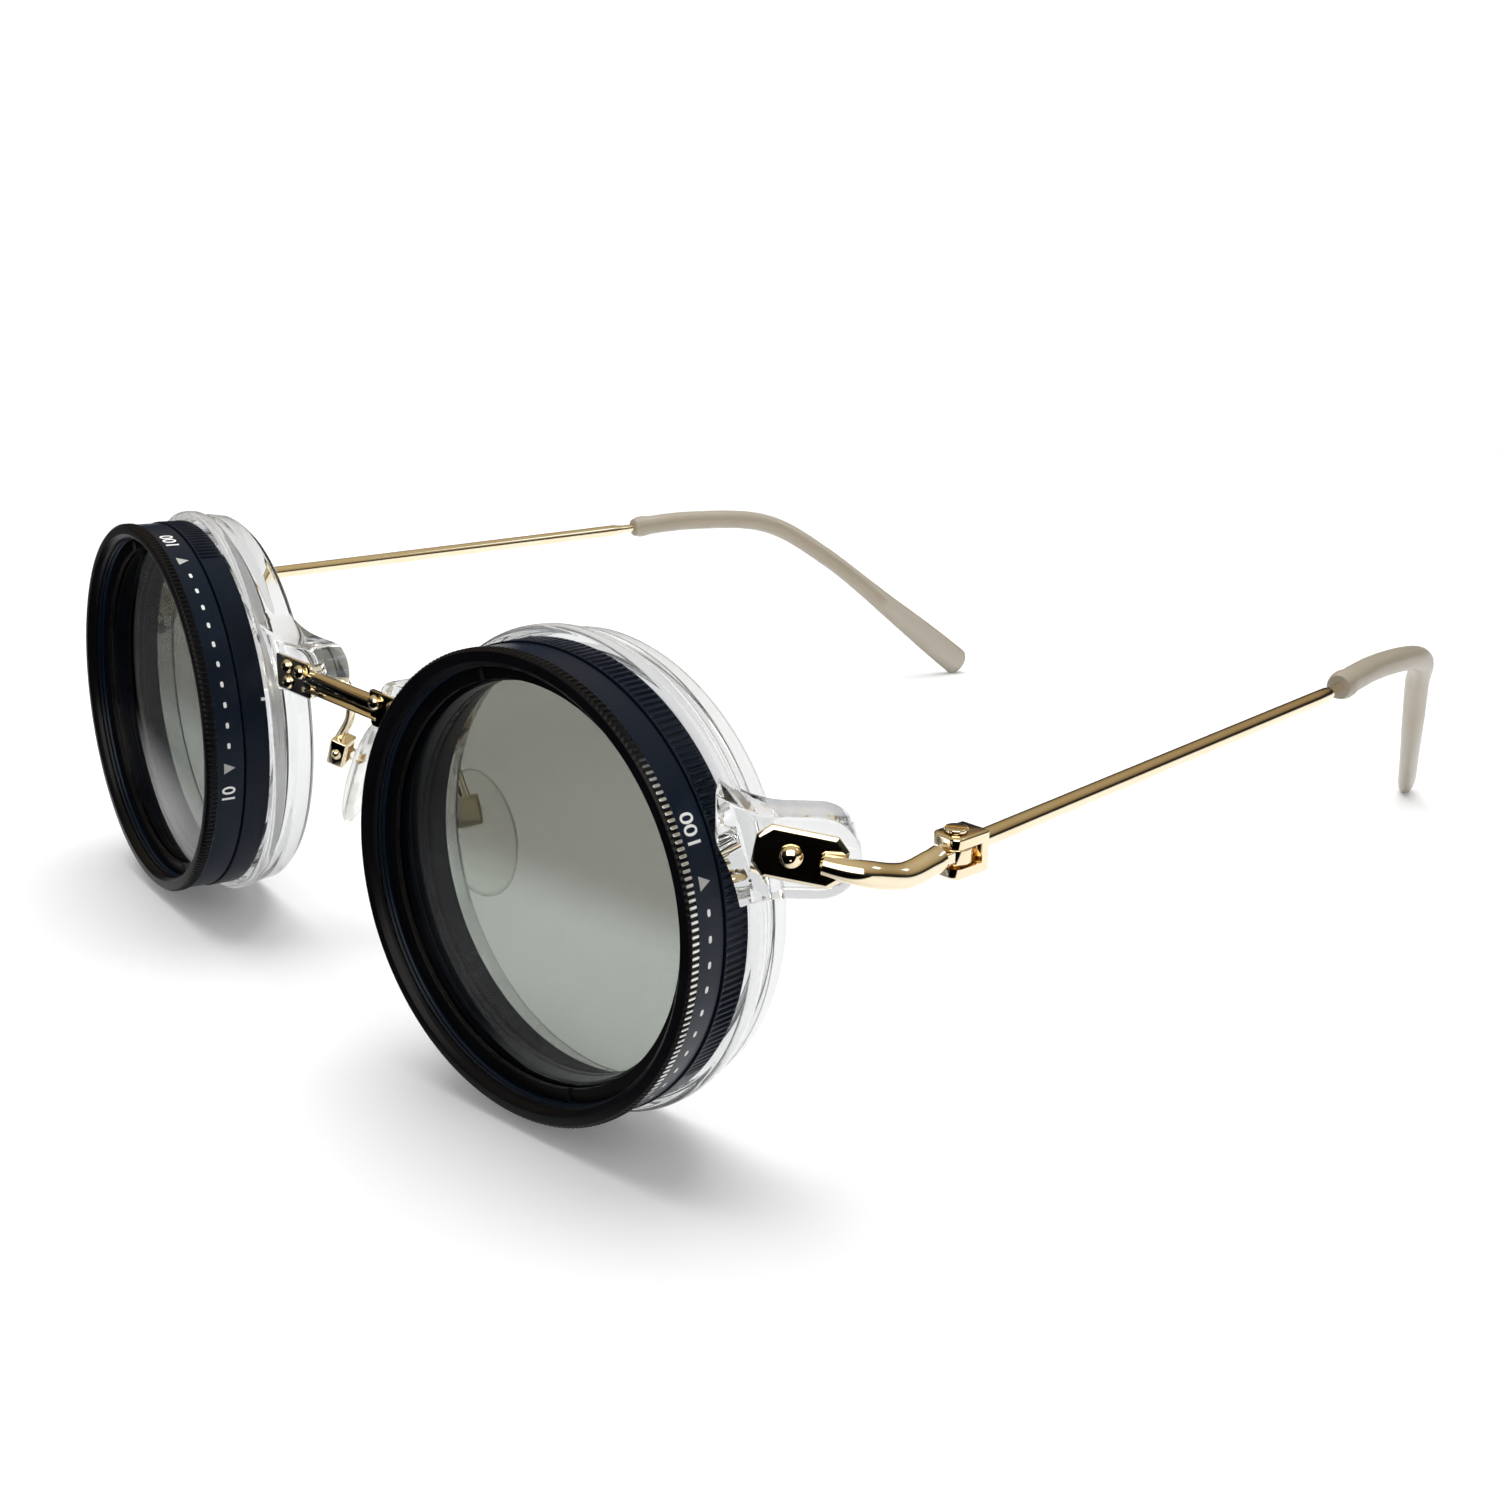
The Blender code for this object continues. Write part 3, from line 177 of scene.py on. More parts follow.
# Temple lug and nose lug
lug_height = 6.9 * mm
lug_slant = radians(45.0)
lug_panel_rise = 1.35 * mm
lug_reach = 8.4 * mm
lug_thickness = 4.2 * mm
lug_root_half = 5.2 * mm
lug_neck_half = 3.3 * mm
lug_lobe_rise = 0.1 * mm
lug_root_back = 2.6 * mm
nose_lug_height = 8.5 * mm
nose_lug_setback = 0.63 * mm
nose_lug_thickness = 4.0 * mm
nose_lug_tip = 5.8 * mm
nose_lug_root_half = 4.6 * mm
nose_lug_neck_half = 2.6 * mm
nose_lug_root_back = 3.4 * mm
nose_lug_root_depth = 1.0 * mm
sweep_power = 2.2
sweep_share = 0.6
sweep_steps = 14
lobe_power = 1.5
lobe_steps = 24
lug_edge = 0.5 * mm
lug_weld = 0.4 * mm

# End piece and its rivet
plate_length = 7.1 * mm
plate_height = 4.2 * mm
plate_thickness = 0.5 * mm
plate_start = 0.3 * mm
plate_chamfer = 1.0 * mm
plate_border = 0.3 * mm
plate_edge = 0.05 * mm
plate_tilt = radians(10.5)
plate_rise = 0.5 * mm
rivet_along = 2.84 * mm
rivet_shaft_radius = 0.5 * mm
rivet_head_radius = 0.95 * mm
rivet_length = 2.4 * mm
head_dome = 0.8
dimple_radius = 0.13 * mm
dimple_floor_share = 0.8

# Elbow bar
elbow_radius = 1.05 * mm
elbow_overlap = 2.0 * mm
elbow_slim = 0.75
elbow_slim_share = 0.31
elbow_start_share = 0.72
elbow_dip = 0.7 * mm
elbow_dip_in = 0.5 * mm
elbow_dip_forward = 1.0 * mm
elbow_arrive_drop = 0.2 * mm
elbow_steps = 64

# Hinge
fork_height = 3.4 * mm
fork_width = 2.9 * mm
fork_leaf = 0.9 * mm
fork_web = 0.9 * mm
fork_corner = 0.8 * mm
block_edge = 0.25 * mm
knuckle_radius = 1.35 * mm
knuckle_edge = 0.12 * mm
tang_width = 1.8 * mm
tang_edge = 0.15 * mm
hinge_screw_radius = 0.5 * mm
hinge_head_radius = 0.95 * mm
hinge_head_height = 0.3 * mm
slot_width = 0.26 * mm
slot_depth_share = 0.6
slot_turn = radians(35.0)

# Temple rod, core wire and tip sleeve, measured from the hinge
rod_radius = 0.78 * mm
rod_rise = 0.3 * mm
rod_steps = 24
core_radius = 0.55 * mm
core_stop_back = 16.0 * mm
core_start_share = 0.6
sleeve_start_back = 61.6 * mm
sleeve_start_in = 4.6 * mm
bend_back = 88.6 * mm
bend_in = 8.5 * mm
bend_drop = 1.2 * mm
tip_back = 118.5 * mm
tip_in = 22.6 * mm
tip_stand = 2.0 * mm
before_bend_lift = 1.0 * mm
after_bend_lift = 1.6 * mm
after_bend_share = 0.3
below_bend_lift = 0.9 * mm
below_bend_share = 0.65
sleeve_radius = 1.35 * mm
sleeve_collar = 0.2 * mm
sleeve_collar_at = 1.3 * mm
sleeve_mouth_drop = 0.12 * mm
sleeve_mouth_reach = 0.5 * mm
sleeve_steps = 80
sleeve_first_step = 4
paddle_start = 0.62
paddle_half_width = 2.2 * mm
paddle_half_thickness = 1.1 * mm
paddle_end_share = 0.75
paddle_end_steps = 9
paddle_end_open = 0.3

# Bridge. The body's outline runs from its top round its front to its foot, in shares of the bar's depth and
# of the body's height. The flange's shares are of the bar's depth too.
bridge_height = 8.3 * mm
bridge_plate_thickness = 0.45 * mm
bridge_plate_inner = 5.6 * mm
bridge_plate_length = 6.5 * mm
bridge_plate_height = 3.5 * mm
bridge_plate_chamfer = 0.2 * mm
bridge_plate_border = 0.16 * mm
bar_height = 2.3 * mm
bar_thickness = 1.5 * mm
bar_forward = 0.2 * mm
bar_overlap = 1.0 * mm
bar_body = ((0.45, 1.0), (0.15, 0.85), (0.0, 0.55), (0.1, 0.1), (0.35, 0.0))
bar_round = 0.28 * mm
bar_round_steps = 4
bar_end_edge = 0.12 * mm
flange_height = 0.55 * mm
flange_gap = 0.2 * mm
flange_root = 0.35
flange_front = 0.02
flange_foot = (0.1, 0.8)
bridge_rivet_radius = 0.42 * mm
bridge_rivet_head = 0.72 * mm
bridge_rivet_length = 1.9 * mm
rivet_inner_along = 1.3 * mm
rivet_outer_along = 4.2 * mm
rivet_row_rise = 0.8 * mm
bar_rivet_lift = 0.2 * mm

# Nose pads, their arms and boxes
arm_root_out = 3.0 * mm
arm_root_back = 2.95 * mm
arm_root_drop = 1.2 * mm
arm_inner_share = 0.125
pad_arm_radius = 0.5 * mm
arm_leave_drop = 0.1 * mm
arm_leave_back = 0.6 * mm
arm_upper_bend = Vector((0.2, 2.6, -1.9)) * mm
arm_lower_bend = Vector((1.4, 3.1, -4.9)) * mm
arm_steps = 40
arm_end_share = 0.4
box_from_root = Vector((3.5, 3.1, -8.8)) * mm
pad_box_width = 2.4 * mm
pad_box_height = 3.0 * mm
pad_box_depth = 1.9 * mm
pad_box_wall = 0.55 * mm
pad_face = Vector((-0.78, 0.53, -0.33)).normalized()
pad_long = Vector((0.31, 0.0, -0.95))
pad_length = 12.4 * mm
pad_width = 6.8 * mm
pad_thickness = 2.2 * mm
pad_back_share = 0.75
pad_taper = 0.12
pad_facets = (64, 40)
pad_below_box = 2.2 * mm
pad_behind_box = 2.5 * mm
pad_off_centre = 0.6 * mm
pad_tab_gap = 0.2 * mm
pad_tab_swing = 0.45 * mm
pad_tab_edge = 0.1 * mm
pad_screw_radius = 0.3 * mm
pad_screw_head = 0.55 * mm

# Skins of the materials. Clouds are given by their scale, gloss by how far the roughness goes down and up,
# stops by where a cloud's two colours are whole, and a grain is (scale, detail, depth, strength).
cloud_detail = 4.0
anodised_specular = 0.13
anodised_cloud = 160.0
anodised_gloss = (0.06, 0.08)
anodised_stops = (0.3, 0.7)
anodised_grain = (9000.0, 2.0, 0.004 * mm, 0.5)
black_shades = ((0.002, 0.002, 0.003), (0.0035, 0.0035, 0.005))
black_roughness = 0.3
navy_shades = ((0.002, 0.005, 0.012), (0.003, 0.008, 0.018))
# The bright metal of the tooth tops: partly wear, partly a painted highlight
tooth_wear_and_glint_color = (0.75, 0.75, 0.73)
metal_cloud = 300.0
metal_gloss = (0.03, 0.05)
metal_stops = (0.35, 0.65)
metal_warmth = (1.0, 0.95, 0.88)
metal_grain = (1100.0, 2.0, 0.004 * mm, 0.35)
clear_cloud = 120.0
clear_gloss_shares = (0.4, 0.5)
clear_wave = (260.0, 1.0)
clear_wave_strength = 0.6
glass_refraction = 1.5
# Where the glass's painted shade turns from its darker upper half to its lighter lower half, along the eye's
# height
glass_shade_edge = (-4.0 * mm, 2.0 * mm)
ink_roughness = 0.5
ink_cloud = 2500.0
ink_gloss = (0.1, 0.1)
sleeve_cloud = 200.0
sleeve_gloss = (0.06, 0.06)

# Studio: the camera, the floor's white, its part in front that reflections see painted dark, the painted
# shade on the floor seen through the glasses, and the light that reflections see
camera_place = (0.14514, -0.14573, 0.07563)
camera_yaw = radians(47.352)
camera_pitch = radians(17.589)
camera_roll = radians(0.721)
camera_lens = 42.4
camera_sensor = 36.0
camera_near = 0.01
light_bounces = 24
floor_size = 8.0
floor_albedo = 0.8
floor_roughness = 0.9
floor_glow = 0.12
floor_near = 0.16
floor_far = 0.4
# Where the floor turns from painted dark in front, wholly for reflections and partly for rays through the
# glasses, to white behind
floor_dark_end = -0.081
floor_light_start = -0.071
room_light = 0.5
through_light = 0.82
# Painted shade on the floor as seen through the glasses and clear rims: darker towards -X, and darker still
# in front towards -X
through_dim = 0.76
through_dim_x = (-0.3, -0.1)
through_front_x = (-0.05, 0.01)
through_front_loss = (0.7, 0.15)
front_dark = (0.012, 0.012, 0.014)
front_clear = (0.62, 0.64, 0.66)
front_edge = (-0.85, -0.62)
studio_heights = [
    (0.0, (0.02, 0.02, 0.02)),
    (0.26, (0.03, 0.028, 0.026)),
    (0.36, (0.27, 0.19, 0.1)),
    (0.6, (0.46, 0.37, 0.22)),
    (1.0, (0.62, 0.54, 0.38))]
bank_direction = (0.43, 0.58, 0.69)
bank_size = (0.3, 0.2)
bank_light = (1.5, 1.8, 2.1)
box_direction = (0.6, -0.62, 0.62)
box_size = (1.2, 0.9)
box_light = (2.8, 2.7, 2.5)
card_distance = 1.0
lamp_height = 0.9
lamp_shift = -0.17
lamp_back = 0.18
lamp_size = (1.0, 0.7)
lamp_power = 10.3


# Materials

def shader_of(material):
    return material.node_tree.nodes["Principled BSDF"]


def new_material(name, color, roughness, **settings):
    """A Principled material with plain numbers on its own sockets."""
    material = bpy.data.materials.new(name)
    material.use_nodes = True
    inputs = shader_of(material).inputs
    inputs["Base Color"].default_value = (*color, 1.0)
    inputs["Roughness"].default_value = roughness
    for socket, value in settings.items():
        inputs[socket.replace("_", " ")].default_value = value
    material.diffuse_color = (*color, 1.0)
    return material


def add_node(material, kind, **settings):
    """Add a node to a material and set its properties."""
    node = material.node_tree.nodes.new(kind)
    for name, value in settings.items():
        setattr(node, name, value)
    return node


def link(material, output, target):
    material.node_tree.links.new(output, target)


def feed(material, socket, output):
    """Feed a socket of the material's shader."""
    link(material, output, shader_of(material).inputs[socket])


def object_place(material):
    """A point in the piece's own coordinates."""
    return add_node(material, "ShaderNodeTexCoord").outputs["Object"]


def axes_of(material, vector):
    """The X, Y and Z of a node's output."""
    split = add_node(material, "ShaderNodeSeparateXYZ")
    link(material, vector, split.inputs["Vector"])
    return [split.outputs[axis] for axis in "XYZ"]


def object_noise(material, scale, detail=cloud_detail):
    """Noise in the piece's own coordinates."""
    noise = add_node(material, "ShaderNodeTexNoise")
    noise.inputs["Scale"].default_value = scale
    noise.inputs["Detail"].default_value = detail
    link(material, object_place(material), noise.inputs["Vector"])
    return noise.outputs["Fac"]


def color_ramp(material, factor, stops):
    """Colours along a factor, from (position, colour) pairs."""
    ramp = add_node(material, "ShaderNodeValToRGB")
    elements = ramp.color_ramp.elements
    while len(elements) < len(stops):
        elements.new(0.5)
    for element, (position, color) in zip(elements, stops):
        element.position = position
        element.color = (*color, 1.0)
    link(material, factor, ramp.inputs["Fac"])
    return ramp.outputs["Color"]


def math_node(material, operation, first, second):
    """A sum, product or such of two values, each a number or another node's output."""
    node = add_node(material, "ShaderNodeMath", operation=operation)
    for socket, value in zip(node.inputs, (first, second)):
        if isinstance(value, float):
            socket.default_value = value
        else:
            link(material, value, socket)
    return node.outputs["Value"]


def product(material, value, *others):
    """The product of values, each a number or another node's output."""
    for other in others:
        value = math_node(material, "MULTIPLY", value, other)
    return value


def rest_of(material, share):
    """What a share leaves of the whole."""
    return math_node(material, "SUBTRACT", 1.0, share)


def ramp_value(material, value, start, end, low=0.0, high=1.0):
    """A smooth step of a value from start to end, spread between two numbers."""
    node = add_node(material, "ShaderNodeMapRange", interpolation_type="SMOOTHSTEP")
    for socket, number in (("From Min", start), ("From Max", end), ("To Min", low), ("To Max", high)):
        node.inputs[socket].default_value = number
    link(material, value, node.inputs["Value"])
    return node.outputs["Result"]


def mixed(material, factor, first, second):
    """One of two colours by a factor, each a colour or another node's output."""
    node = add_node(material, "ShaderNodeMix", data_type="RGBA")
    link(material, factor, node.inputs["Factor"])
    colors = [socket for socket in node.inputs if socket.type == "RGBA"]
    for socket, value in zip(colors, (first, second)):
        if isinstance(value, tuple):
            socket.default_value = (*value, 1.0)
        else:
            link(material, value, socket)
    return [socket for socket in node.outputs if socket.type == "RGBA"][0]


def uneven_skin(material, roughness, cloud_scale, gloss, grain=None, shades=None):
    """Give a material a cloudy gloss, and where they are given a very fine relief and cloudy colours."""
    cloud = object_noise(material, cloud_scale)
    if shades:
        feed(material, "Base Color", color_ramp(material, cloud, shades))
    spread = add_node(material, "ShaderNodeMapRange")
    spread.inputs["To Min"].default_value = roughness - gloss[0]
    spread.inputs["To Max"].default_value = roughness + gloss[1]
    link(material, cloud, spread.inputs["Value"])
    feed(material, "Roughness", spread.outputs["Result"])
    if grain:
        scale, detail, depth, strength = grain
        bump = add_node(material, "ShaderNodeBump")
        bump.inputs["Strength"].default_value = strength
        bump.inputs["Distance"].default_value = depth
        link(material, object_noise(material, scale, detail), bump.inputs["Height"])
        feed(material, "Normal", bump.outputs["Normal"])
    return material


def anodised_material(name, shades, roughness):
    """Dyed anodised aluminium: a satin skin, a little uneven in colour and gloss, over turned metal."""
    material = new_material(name, shades[0], roughness, Specular_IOR_Level=anodised_specular)
    stops = list(zip(anodised_stops, shades))
    return uneven_skin(material, roughness, anodised_cloud, anodised_gloss, anodised_grain, stops)


def toothed_material(side):
    """The front ring's dyed skin, bluer on the scale band, with bright bare metal on the tooth tops of the
    temple side: partly wear where fingers turn it, partly a painted highlight where the teeth glint.
    """
    material = anodised_material("toothed_anodised_" + side, black_shades, black_roughness)
    x, y, height = axes_of(material, object_place(material))
    squares = [product(material, axis, axis) for axis in (x, y)]
    radius = math_node(material, "SQRT", math_node(material, "ADD", *squares), 0.0)
    band = ramp_value(material, height, -teeth_depth - scale_step, -teeth_depth, 1.0, 0.0)
    top = ramp_value(material, radius, ring_radius - tooth_relief / 2, ring_radius - tooth_relief / 4)
    outward = product(material, x, side_sign[side])
    # Bright bare tooth tops on the temple side only: partly wear, partly a painted highlight where the teeth
    # glint
    bare = product(material, top, ramp_value(material, outward, *wear_and_glint_reach), rest_of(material, band))
    black = shader_of(material).inputs["Base Color"].links[0].from_socket
    dyed = mixed(material, band, black, navy_shades[1])
    feed(material, "Base Color", mixed(material, bare, dyed, tooth_wear_and_glint_color))
    feed(material, "Metallic", bare)
    return material


def metal_material(name, color, roughness):
    """Polished metal or plate with faint waviness, a slightly uneven gloss and warmer patches."""
    material = new_material(name, color, roughness, Metallic=1.0)
    warm = tuple(channel * share for channel, share in zip(color, metal_warmth))
    stops = list(zip(metal_stops, (warm, color)))
    return uneven_skin(material, roughness, metal_cloud, metal_gloss, metal_grain, stops)


def clear_material(name, color, roughness, refraction, waviness):
    """A clear plastic body with faint waves on its polished faces."""
    material = new_material(name, color, roughness, Transmission_Weight=1.0, IOR=refraction)
    gloss = [roughness * share for share in clear_gloss_shares]
    return uneven_skin(material, roughness, clear_cloud, gloss, (*clear_wave, waviness, clear_wave_strength))


def glass_material(name, upper, lower):
    """Polariser glass, darker above and lighter below as a painted shade of the darker background seen
    through its upper half, with a soft boundary across it.
    """
    material = new_material(name, upper, 0.0, Transmission_Weight=1.0, IOR=glass_refraction)
    height = ramp_value(material, axes_of(material, object_place(material))[1], *glass_shade_edge)
    feed(material, "Base Color", mixed(material, height, lower, upper))
    return material


def ink_material(name, color):
    """Painted ink with a slightly uneven gloss."""
    return uneven_skin(new_material(name, color, ink_roughness), ink_roughness, ink_cloud, ink_gloss)


def sleeve_material(name, color, roughness, clearness, refraction):
    """Smoky plastic that lets part of the light through."""
    material = new_material(name, color, roughness, Transmission_Weight=clearness, IOR=refraction)
    return uneven_skin(material, roughness, sleeve_cloud, sleeve_gloss)


toothed = {side: toothed_material(side) for side in side_sign}
charcoal = anodised_material("charcoal_anodised", ((0.0025, 0.002, 0.0025), (0.004, 0.0035, 0.004)), 0.38)
navy = anodised_material("navy_anodised", navy_shades, 0.28)
gold = metal_material("pale_gold", (0.84, 0.755, 0.58), 0.08)
steel = metal_material("spring_steel", (0.55, 0.55, 0.57), 0.25)
bare_aluminium = metal_material("bare_aluminium", (0.6, 0.61, 0.63), 0.3)
acetate = clear_material("clear_acetate", (0.88, 0.89, 0.895), 0.0, 1.49, 0.006 * mm)
silicone = clear_material("clear_silicone", (0.93, 0.93, 0.9), 0.12, 1.41, 0.03 * mm)
# Each glass is tinted darker above than below: painted shade for the darker background seen through the
# upper half, strong on the rear glass, slight on the front
front_tint = glass_material("front_polariser", (0.56, 0.56, 0.56), (0.5712, 0.5712, 0.5712))
rear_tint = glass_material("rear_polariser", (0.437, 0.443, 0.383), (0.74, 0.81, 0.73))
ink = ink_material("white_ink", (0.82, 0.82, 0.8))
grey_ink = ink_material("grey_ink", (0.42, 0.42, 0.41))
sleeve_plastic = sleeve_material("tip_sleeve", (0.55, 0.5, 0.42), 0.32, 0.55, 1.46)


# Meshes

def to_mesh(shape, angle=sharp_angle):
    """Weld and close a built shape into a mesh, round faces smooth and sharp edges kept."""
    bmesh.ops.remove_doubles(shape, verts=shape.verts, dist=weld_reach)
    bmesh.ops.recalc_face_normals(shape, faces=shape.faces)
    mesh = bpy.data.meshes.new("shape")
    shape.to_mesh(mesh)
    shape.free()
    mesh.shade_smooth()
    mesh.set_sharp_from_angle(angle=angle)
    return mesh


def soften(profile, radius, steps=fine_bevel_steps):
    """Round every corner of a closed profile of points in a plane."""
    corners = [Vector(corner) for corner in profile]
    result = []
    for number, here in enumerate(corners):
        to_before = corners[number - 1] - here
        to_after = corners[(number + 1) % len(corners)] - here
        reach = min(radius, to_before.length * corner_share, to_after.length * corner_share)
        start = here + to_before.normalized() * reach
        end = here + to_after.normalized() * reach
        for step in range(steps + 1):
            share = step / steps
            result.append(start * (1 - share) ** 2 + here * (2 * share * (1 - share)) + end * share ** 2)
    return result


def turned(profile, steps, relief=None):
    """A ring turned about Z from a closed profile of (radius, depth), with an optional relief on it."""
    count = len(profile)
    points = []
    for step in range(steps):
        angle = 2 * pi * step / steps
        for radius, depth in profile:
            rise, sink = relief(step, angle, radius, depth) if relief else (0.0, 0.0)
            points.append(((radius + rise) * cos(angle), (radius + rise) * sin(angle), -depth - sink))
    faces = []
    for step in range(steps):
        here = step * count
        there = (step + 1) % steps * count
        for number in range(count):
            after = (number + 1) % count
            faces.append((here + number, here + after, there + after, there + number))
    mesh = bpy.data.meshes.new("ring")
    mesh.from_pydata(points, [], faces)
    mesh.shade_smooth()
    mesh.set_sharp_from_angle(angle=profile_sharp_angle)
    return mesh


def turned_solid(outline, steps=small_steps):
    """A solid turned about Z from an open outline of (radius, height), from top to bottom."""
    shape = bmesh.new()
    corners = [shape.verts.new((radius, 0.0, height)) for radius, height in outline]
    edges = [shape.edges.new(pair) for pair in zip(corners, corners[1:])]
    bmesh.ops.spin(shape, geom=corners + edges, axis=(0, 0, 1), cent=(0, 0, 0), steps=steps, angle=2 * pi)
    return to_mesh(shape)


def cylinder(radius, low, high, steps=small_steps):
    """A cylinder along Z from low to high."""
    return turned_solid([(0.0, high), (radius, high), (radius, low), (0.0, low)], steps)


def box(low, high):
    """A box between two corners."""
    shape = bmesh.new()
    bmesh.ops.create_cube(shape, size=1.0)
    bmesh.ops.scale(shape, vec=Vector(high) - Vector(low), verts=shape.verts)
    bmesh.ops.translate(shape, vec=(Vector(high) + Vector(low)) / 2, verts=shape.verts)
    return to_mesh(shape)


def extruded(outline, low, high):
    """A flat outline of (x, y) points, counter-clockwise, extruded along Z from low to high."""
    shape = bmesh.new()
    face = shape.faces.new([shape.verts.new((x, y, low)) for x, y in outline])
    raised = bmesh.ops.extrude_face_region(shape, geom=[face])
    upper = [item for item in raised["geom"] if isinstance(item, bmesh.types.BMVert)]
    bmesh.ops.translate(shape, vec=(0.0, 0.0, high - low), verts=upper)
    return to_mesh(shape)


def skinned(loops, angle=sharp_angle):
    """A body over loops with the same number of points, with a flat face at each end."""
    shape = bmesh.new()
    rings = [[shape.verts.new(point) for point in loop] for loop in loops]
    count = len(rings[0])
    for first, second in zip(rings, rings[1:]):
        for number in range(count):
            after = (number + 1) % count
            shape.faces.new((first[number], first[after], second[after], second[number]))
    shape.faces.new(rings[0][::-1])
    shape.faces.new(rings[-1])
    return to_mesh(shape, angle)


def loft(points, half_widths, half_heights):
    """Oval sections along points, tall in the vertical plane and flat across it, closed at both ends."""
    turns = [2 * pi * side / bar_sides for side in range(bar_sides)]
    loops = []
    across = Vector((1.0, 0.0, 0.0))
    for number, point in enumerate(points):
        ahead = points[min(number + 1, len(points) - 1)]
        behind = points[max(number - 1, 0)]
        along = (ahead - behind).normalized()
        across = (across - along * across.dot(along)).normalized()
        upward = across.cross(along)
        loops.append([point + (across * (half_widths[number] * cos(turn))
                               + upward * (half_heights[number] * sin(turn))) for turn in turns])
    return skinned(loops)


def tube(points, radii):
    """A round bar along points, with a radius at each."""
    return loft(points, radii, radii)


def in_scene(name, data, matrix=None):
    """Put a mesh, text, lamp or camera into the scene."""
    holder = bpy.data.objects.new(name, data)
    scene.collection.objects.link(holder)
    if matrix is not None:
        holder.matrix_world = matrix
    return holder


def applied(holder):
    """The mesh of an object with its modifiers and its place worked in, and the object removed."""
    bpy.context.view_layer.update()
    graph = bpy.context.evaluated_depsgraph_get()
    mesh = bpy.data.meshes.new_from_object(holder.evaluated_get(graph))
    mesh.transform(holder.matrix_world)
    bpy.data.objects.remove(holder, do_unlink=True)
    mesh.shade_smooth()
    mesh.set_sharp_from_angle(angle=sharp_angle)
    return mesh


def bevelled(mesh, width, matrix=None, steps=bevel_steps, limit=bevel_angle):
    """A copy of a mesh with its sharp edges rounded."""
    holder = in_scene("base", mesh, matrix)
    modifier = holder.modifiers.new("bevel", "BEVEL")
    modifier.width = width
    modifier.segments = steps
    modifier.limit_method = "ANGLE"
    modifier.angle_limit = limit
    return applied(holder)


def combined(base, joined=(), cut=()):
    """A mesh with other meshes joined to it, and then others cut from it, all in one frame."""
    holder = in_scene("base", base)
    helpers = []
    for operation, meshes in (("UNION", joined), ("DIFFERENCE", cut)):
        for mesh in meshes:
            helper = in_scene("helper", mesh)
            helpers.append(helper)
            modifier = holder.modifiers.new(operation.lower(), "BOOLEAN")
            modifier.operation = operation
            modifier.object = helper
            modifier.solver = "EXACT"
    result = applied(holder)
    for helper in helpers:
        bpy.data.objects.remove(helper, do_unlink=True)
    return result


def moved(mesh, matrix):
    """A mesh in another place."""
    mesh.transform(matrix)
    return mesh


def arc(centre_x, centre_y, radius, start, end, count):
    """Points along an arc, angles in radians."""
    angles = [start + (end - start) * step / count for step in range(count + 1)]
    return [(centre_x + radius * cos(angle), centre_y + radius * sin(angle)) for angle in angles]


def spline_points(points, count):
    """Evenly spread points on a smooth Catmull-Rom curve through the given ones."""
    path = [points[0] * 2 - points[1]] + list(points) + [points[-1] * 2 - points[-2]]
    spans = len(points) - 1
    result = []
    for step in range(count + 1):
        position = min(step / count * spans, spans - 1e-9)
        span = int(position)
        t = position - span
        a, b, c, d = path[span:span + 4]
        result.append(0.5 * (2 * b + (c - a) * t + (2 * a - 5 * b + 4 * c - d) * t * t
                             + (3 * b - a - 3 * c + d) * t ** 3))
    return result


# Placing pieces

def show(name, mesh, material, body, replaced=(), matrix=Matrix.Translation(front_at)):
    """Add a finished piece on its body, in place of the CAD nodes that it stands for."""
    piece = in_scene(name, mesh, matrix)
    mesh.name = name
    mesh.materials.clear()
    mesh.materials.append(material)
    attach(piece, body)
    if replaced:
        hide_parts(*replaced)


def show_pair(stem, mesh, material=gold, body="frame"):
    """Add a left piece built in the front's frame, and its mirror image on the right."""
    other = mesh.copy()
    other.transform(Matrix.Scale(-1.0, 4, Vector((1.0, 0.0, 0.0))))
    other.flip_normals()
    for side, shape in (("left", mesh), ("right", other)):
        show(f"{stem}_{side}_fine", shape, material, body.replace("SIDE", side), [f"{stem}_{side}"])


def eye_matrix(side, at=Vector((0.0, 0.0, 0.0))):
    """The optical frame of one eye: X across, Y up, Z forward, origin at the ring's front centre."""
    sign = side_sign[side]
    turn = Matrix.Rotation(sign * lens_wrap, 4, "Z") @ Matrix.Rotation(pi / 2 - lens_lean, 4, "X")
    return Matrix.Translation(at + Vector((sign * lens_spacing / 2, 0.0, 0.0))) @ turn


def eye_point(radius, height, depth, inward=False):
    """A point of the left rim in the front's frame, at a height, on its temple or its nose side."""
    across = sqrt(radius ** 2 - height ** 2)
    return eye_matrix("left") @ Vector((-across if inward else across, height, -depth))


# Filters

def in_valley(step):
    """Whether a facet lies in the valley of its tooth or groove."""
    return step % tooth_facets >= tooth_facets / 2


def tooth_shape(step, angle, radius, depth):
    """Small axial teeth round the outside of the front ring's lip."""
    outside = radius >= ring_radius - lip_chamfer * tooth_chamfer_share
    on_lip = outside and depth <= teeth_depth + scale_step / 2
    return (-tooth_relief if on_lip and in_valley(step) else 0.0), 0.0


def knurl_shape(step, angle, radius, depth):
    """Axial grooves in the temple-side sector of the left rear ring's outside."""
    wrapped = (angle - knurl_start) % (2 * pi)
    on_land = wrapped > knurl_end - knurl_start or abs(angle - index_angle) < index_land
    if radius < ring_radius - edge_round or on_land or not in_valley(step):
        return 0.0, 0.0
    inside = min(depth - rear_front, rear_back - depth)
    share = min(1.0, max(0.0, (inside - knurl_margin * knurl_fade[0]) / knurl_margin))
    return -knurl_relief * (share * share * (3.0 - 2.0 * share)), 0.0


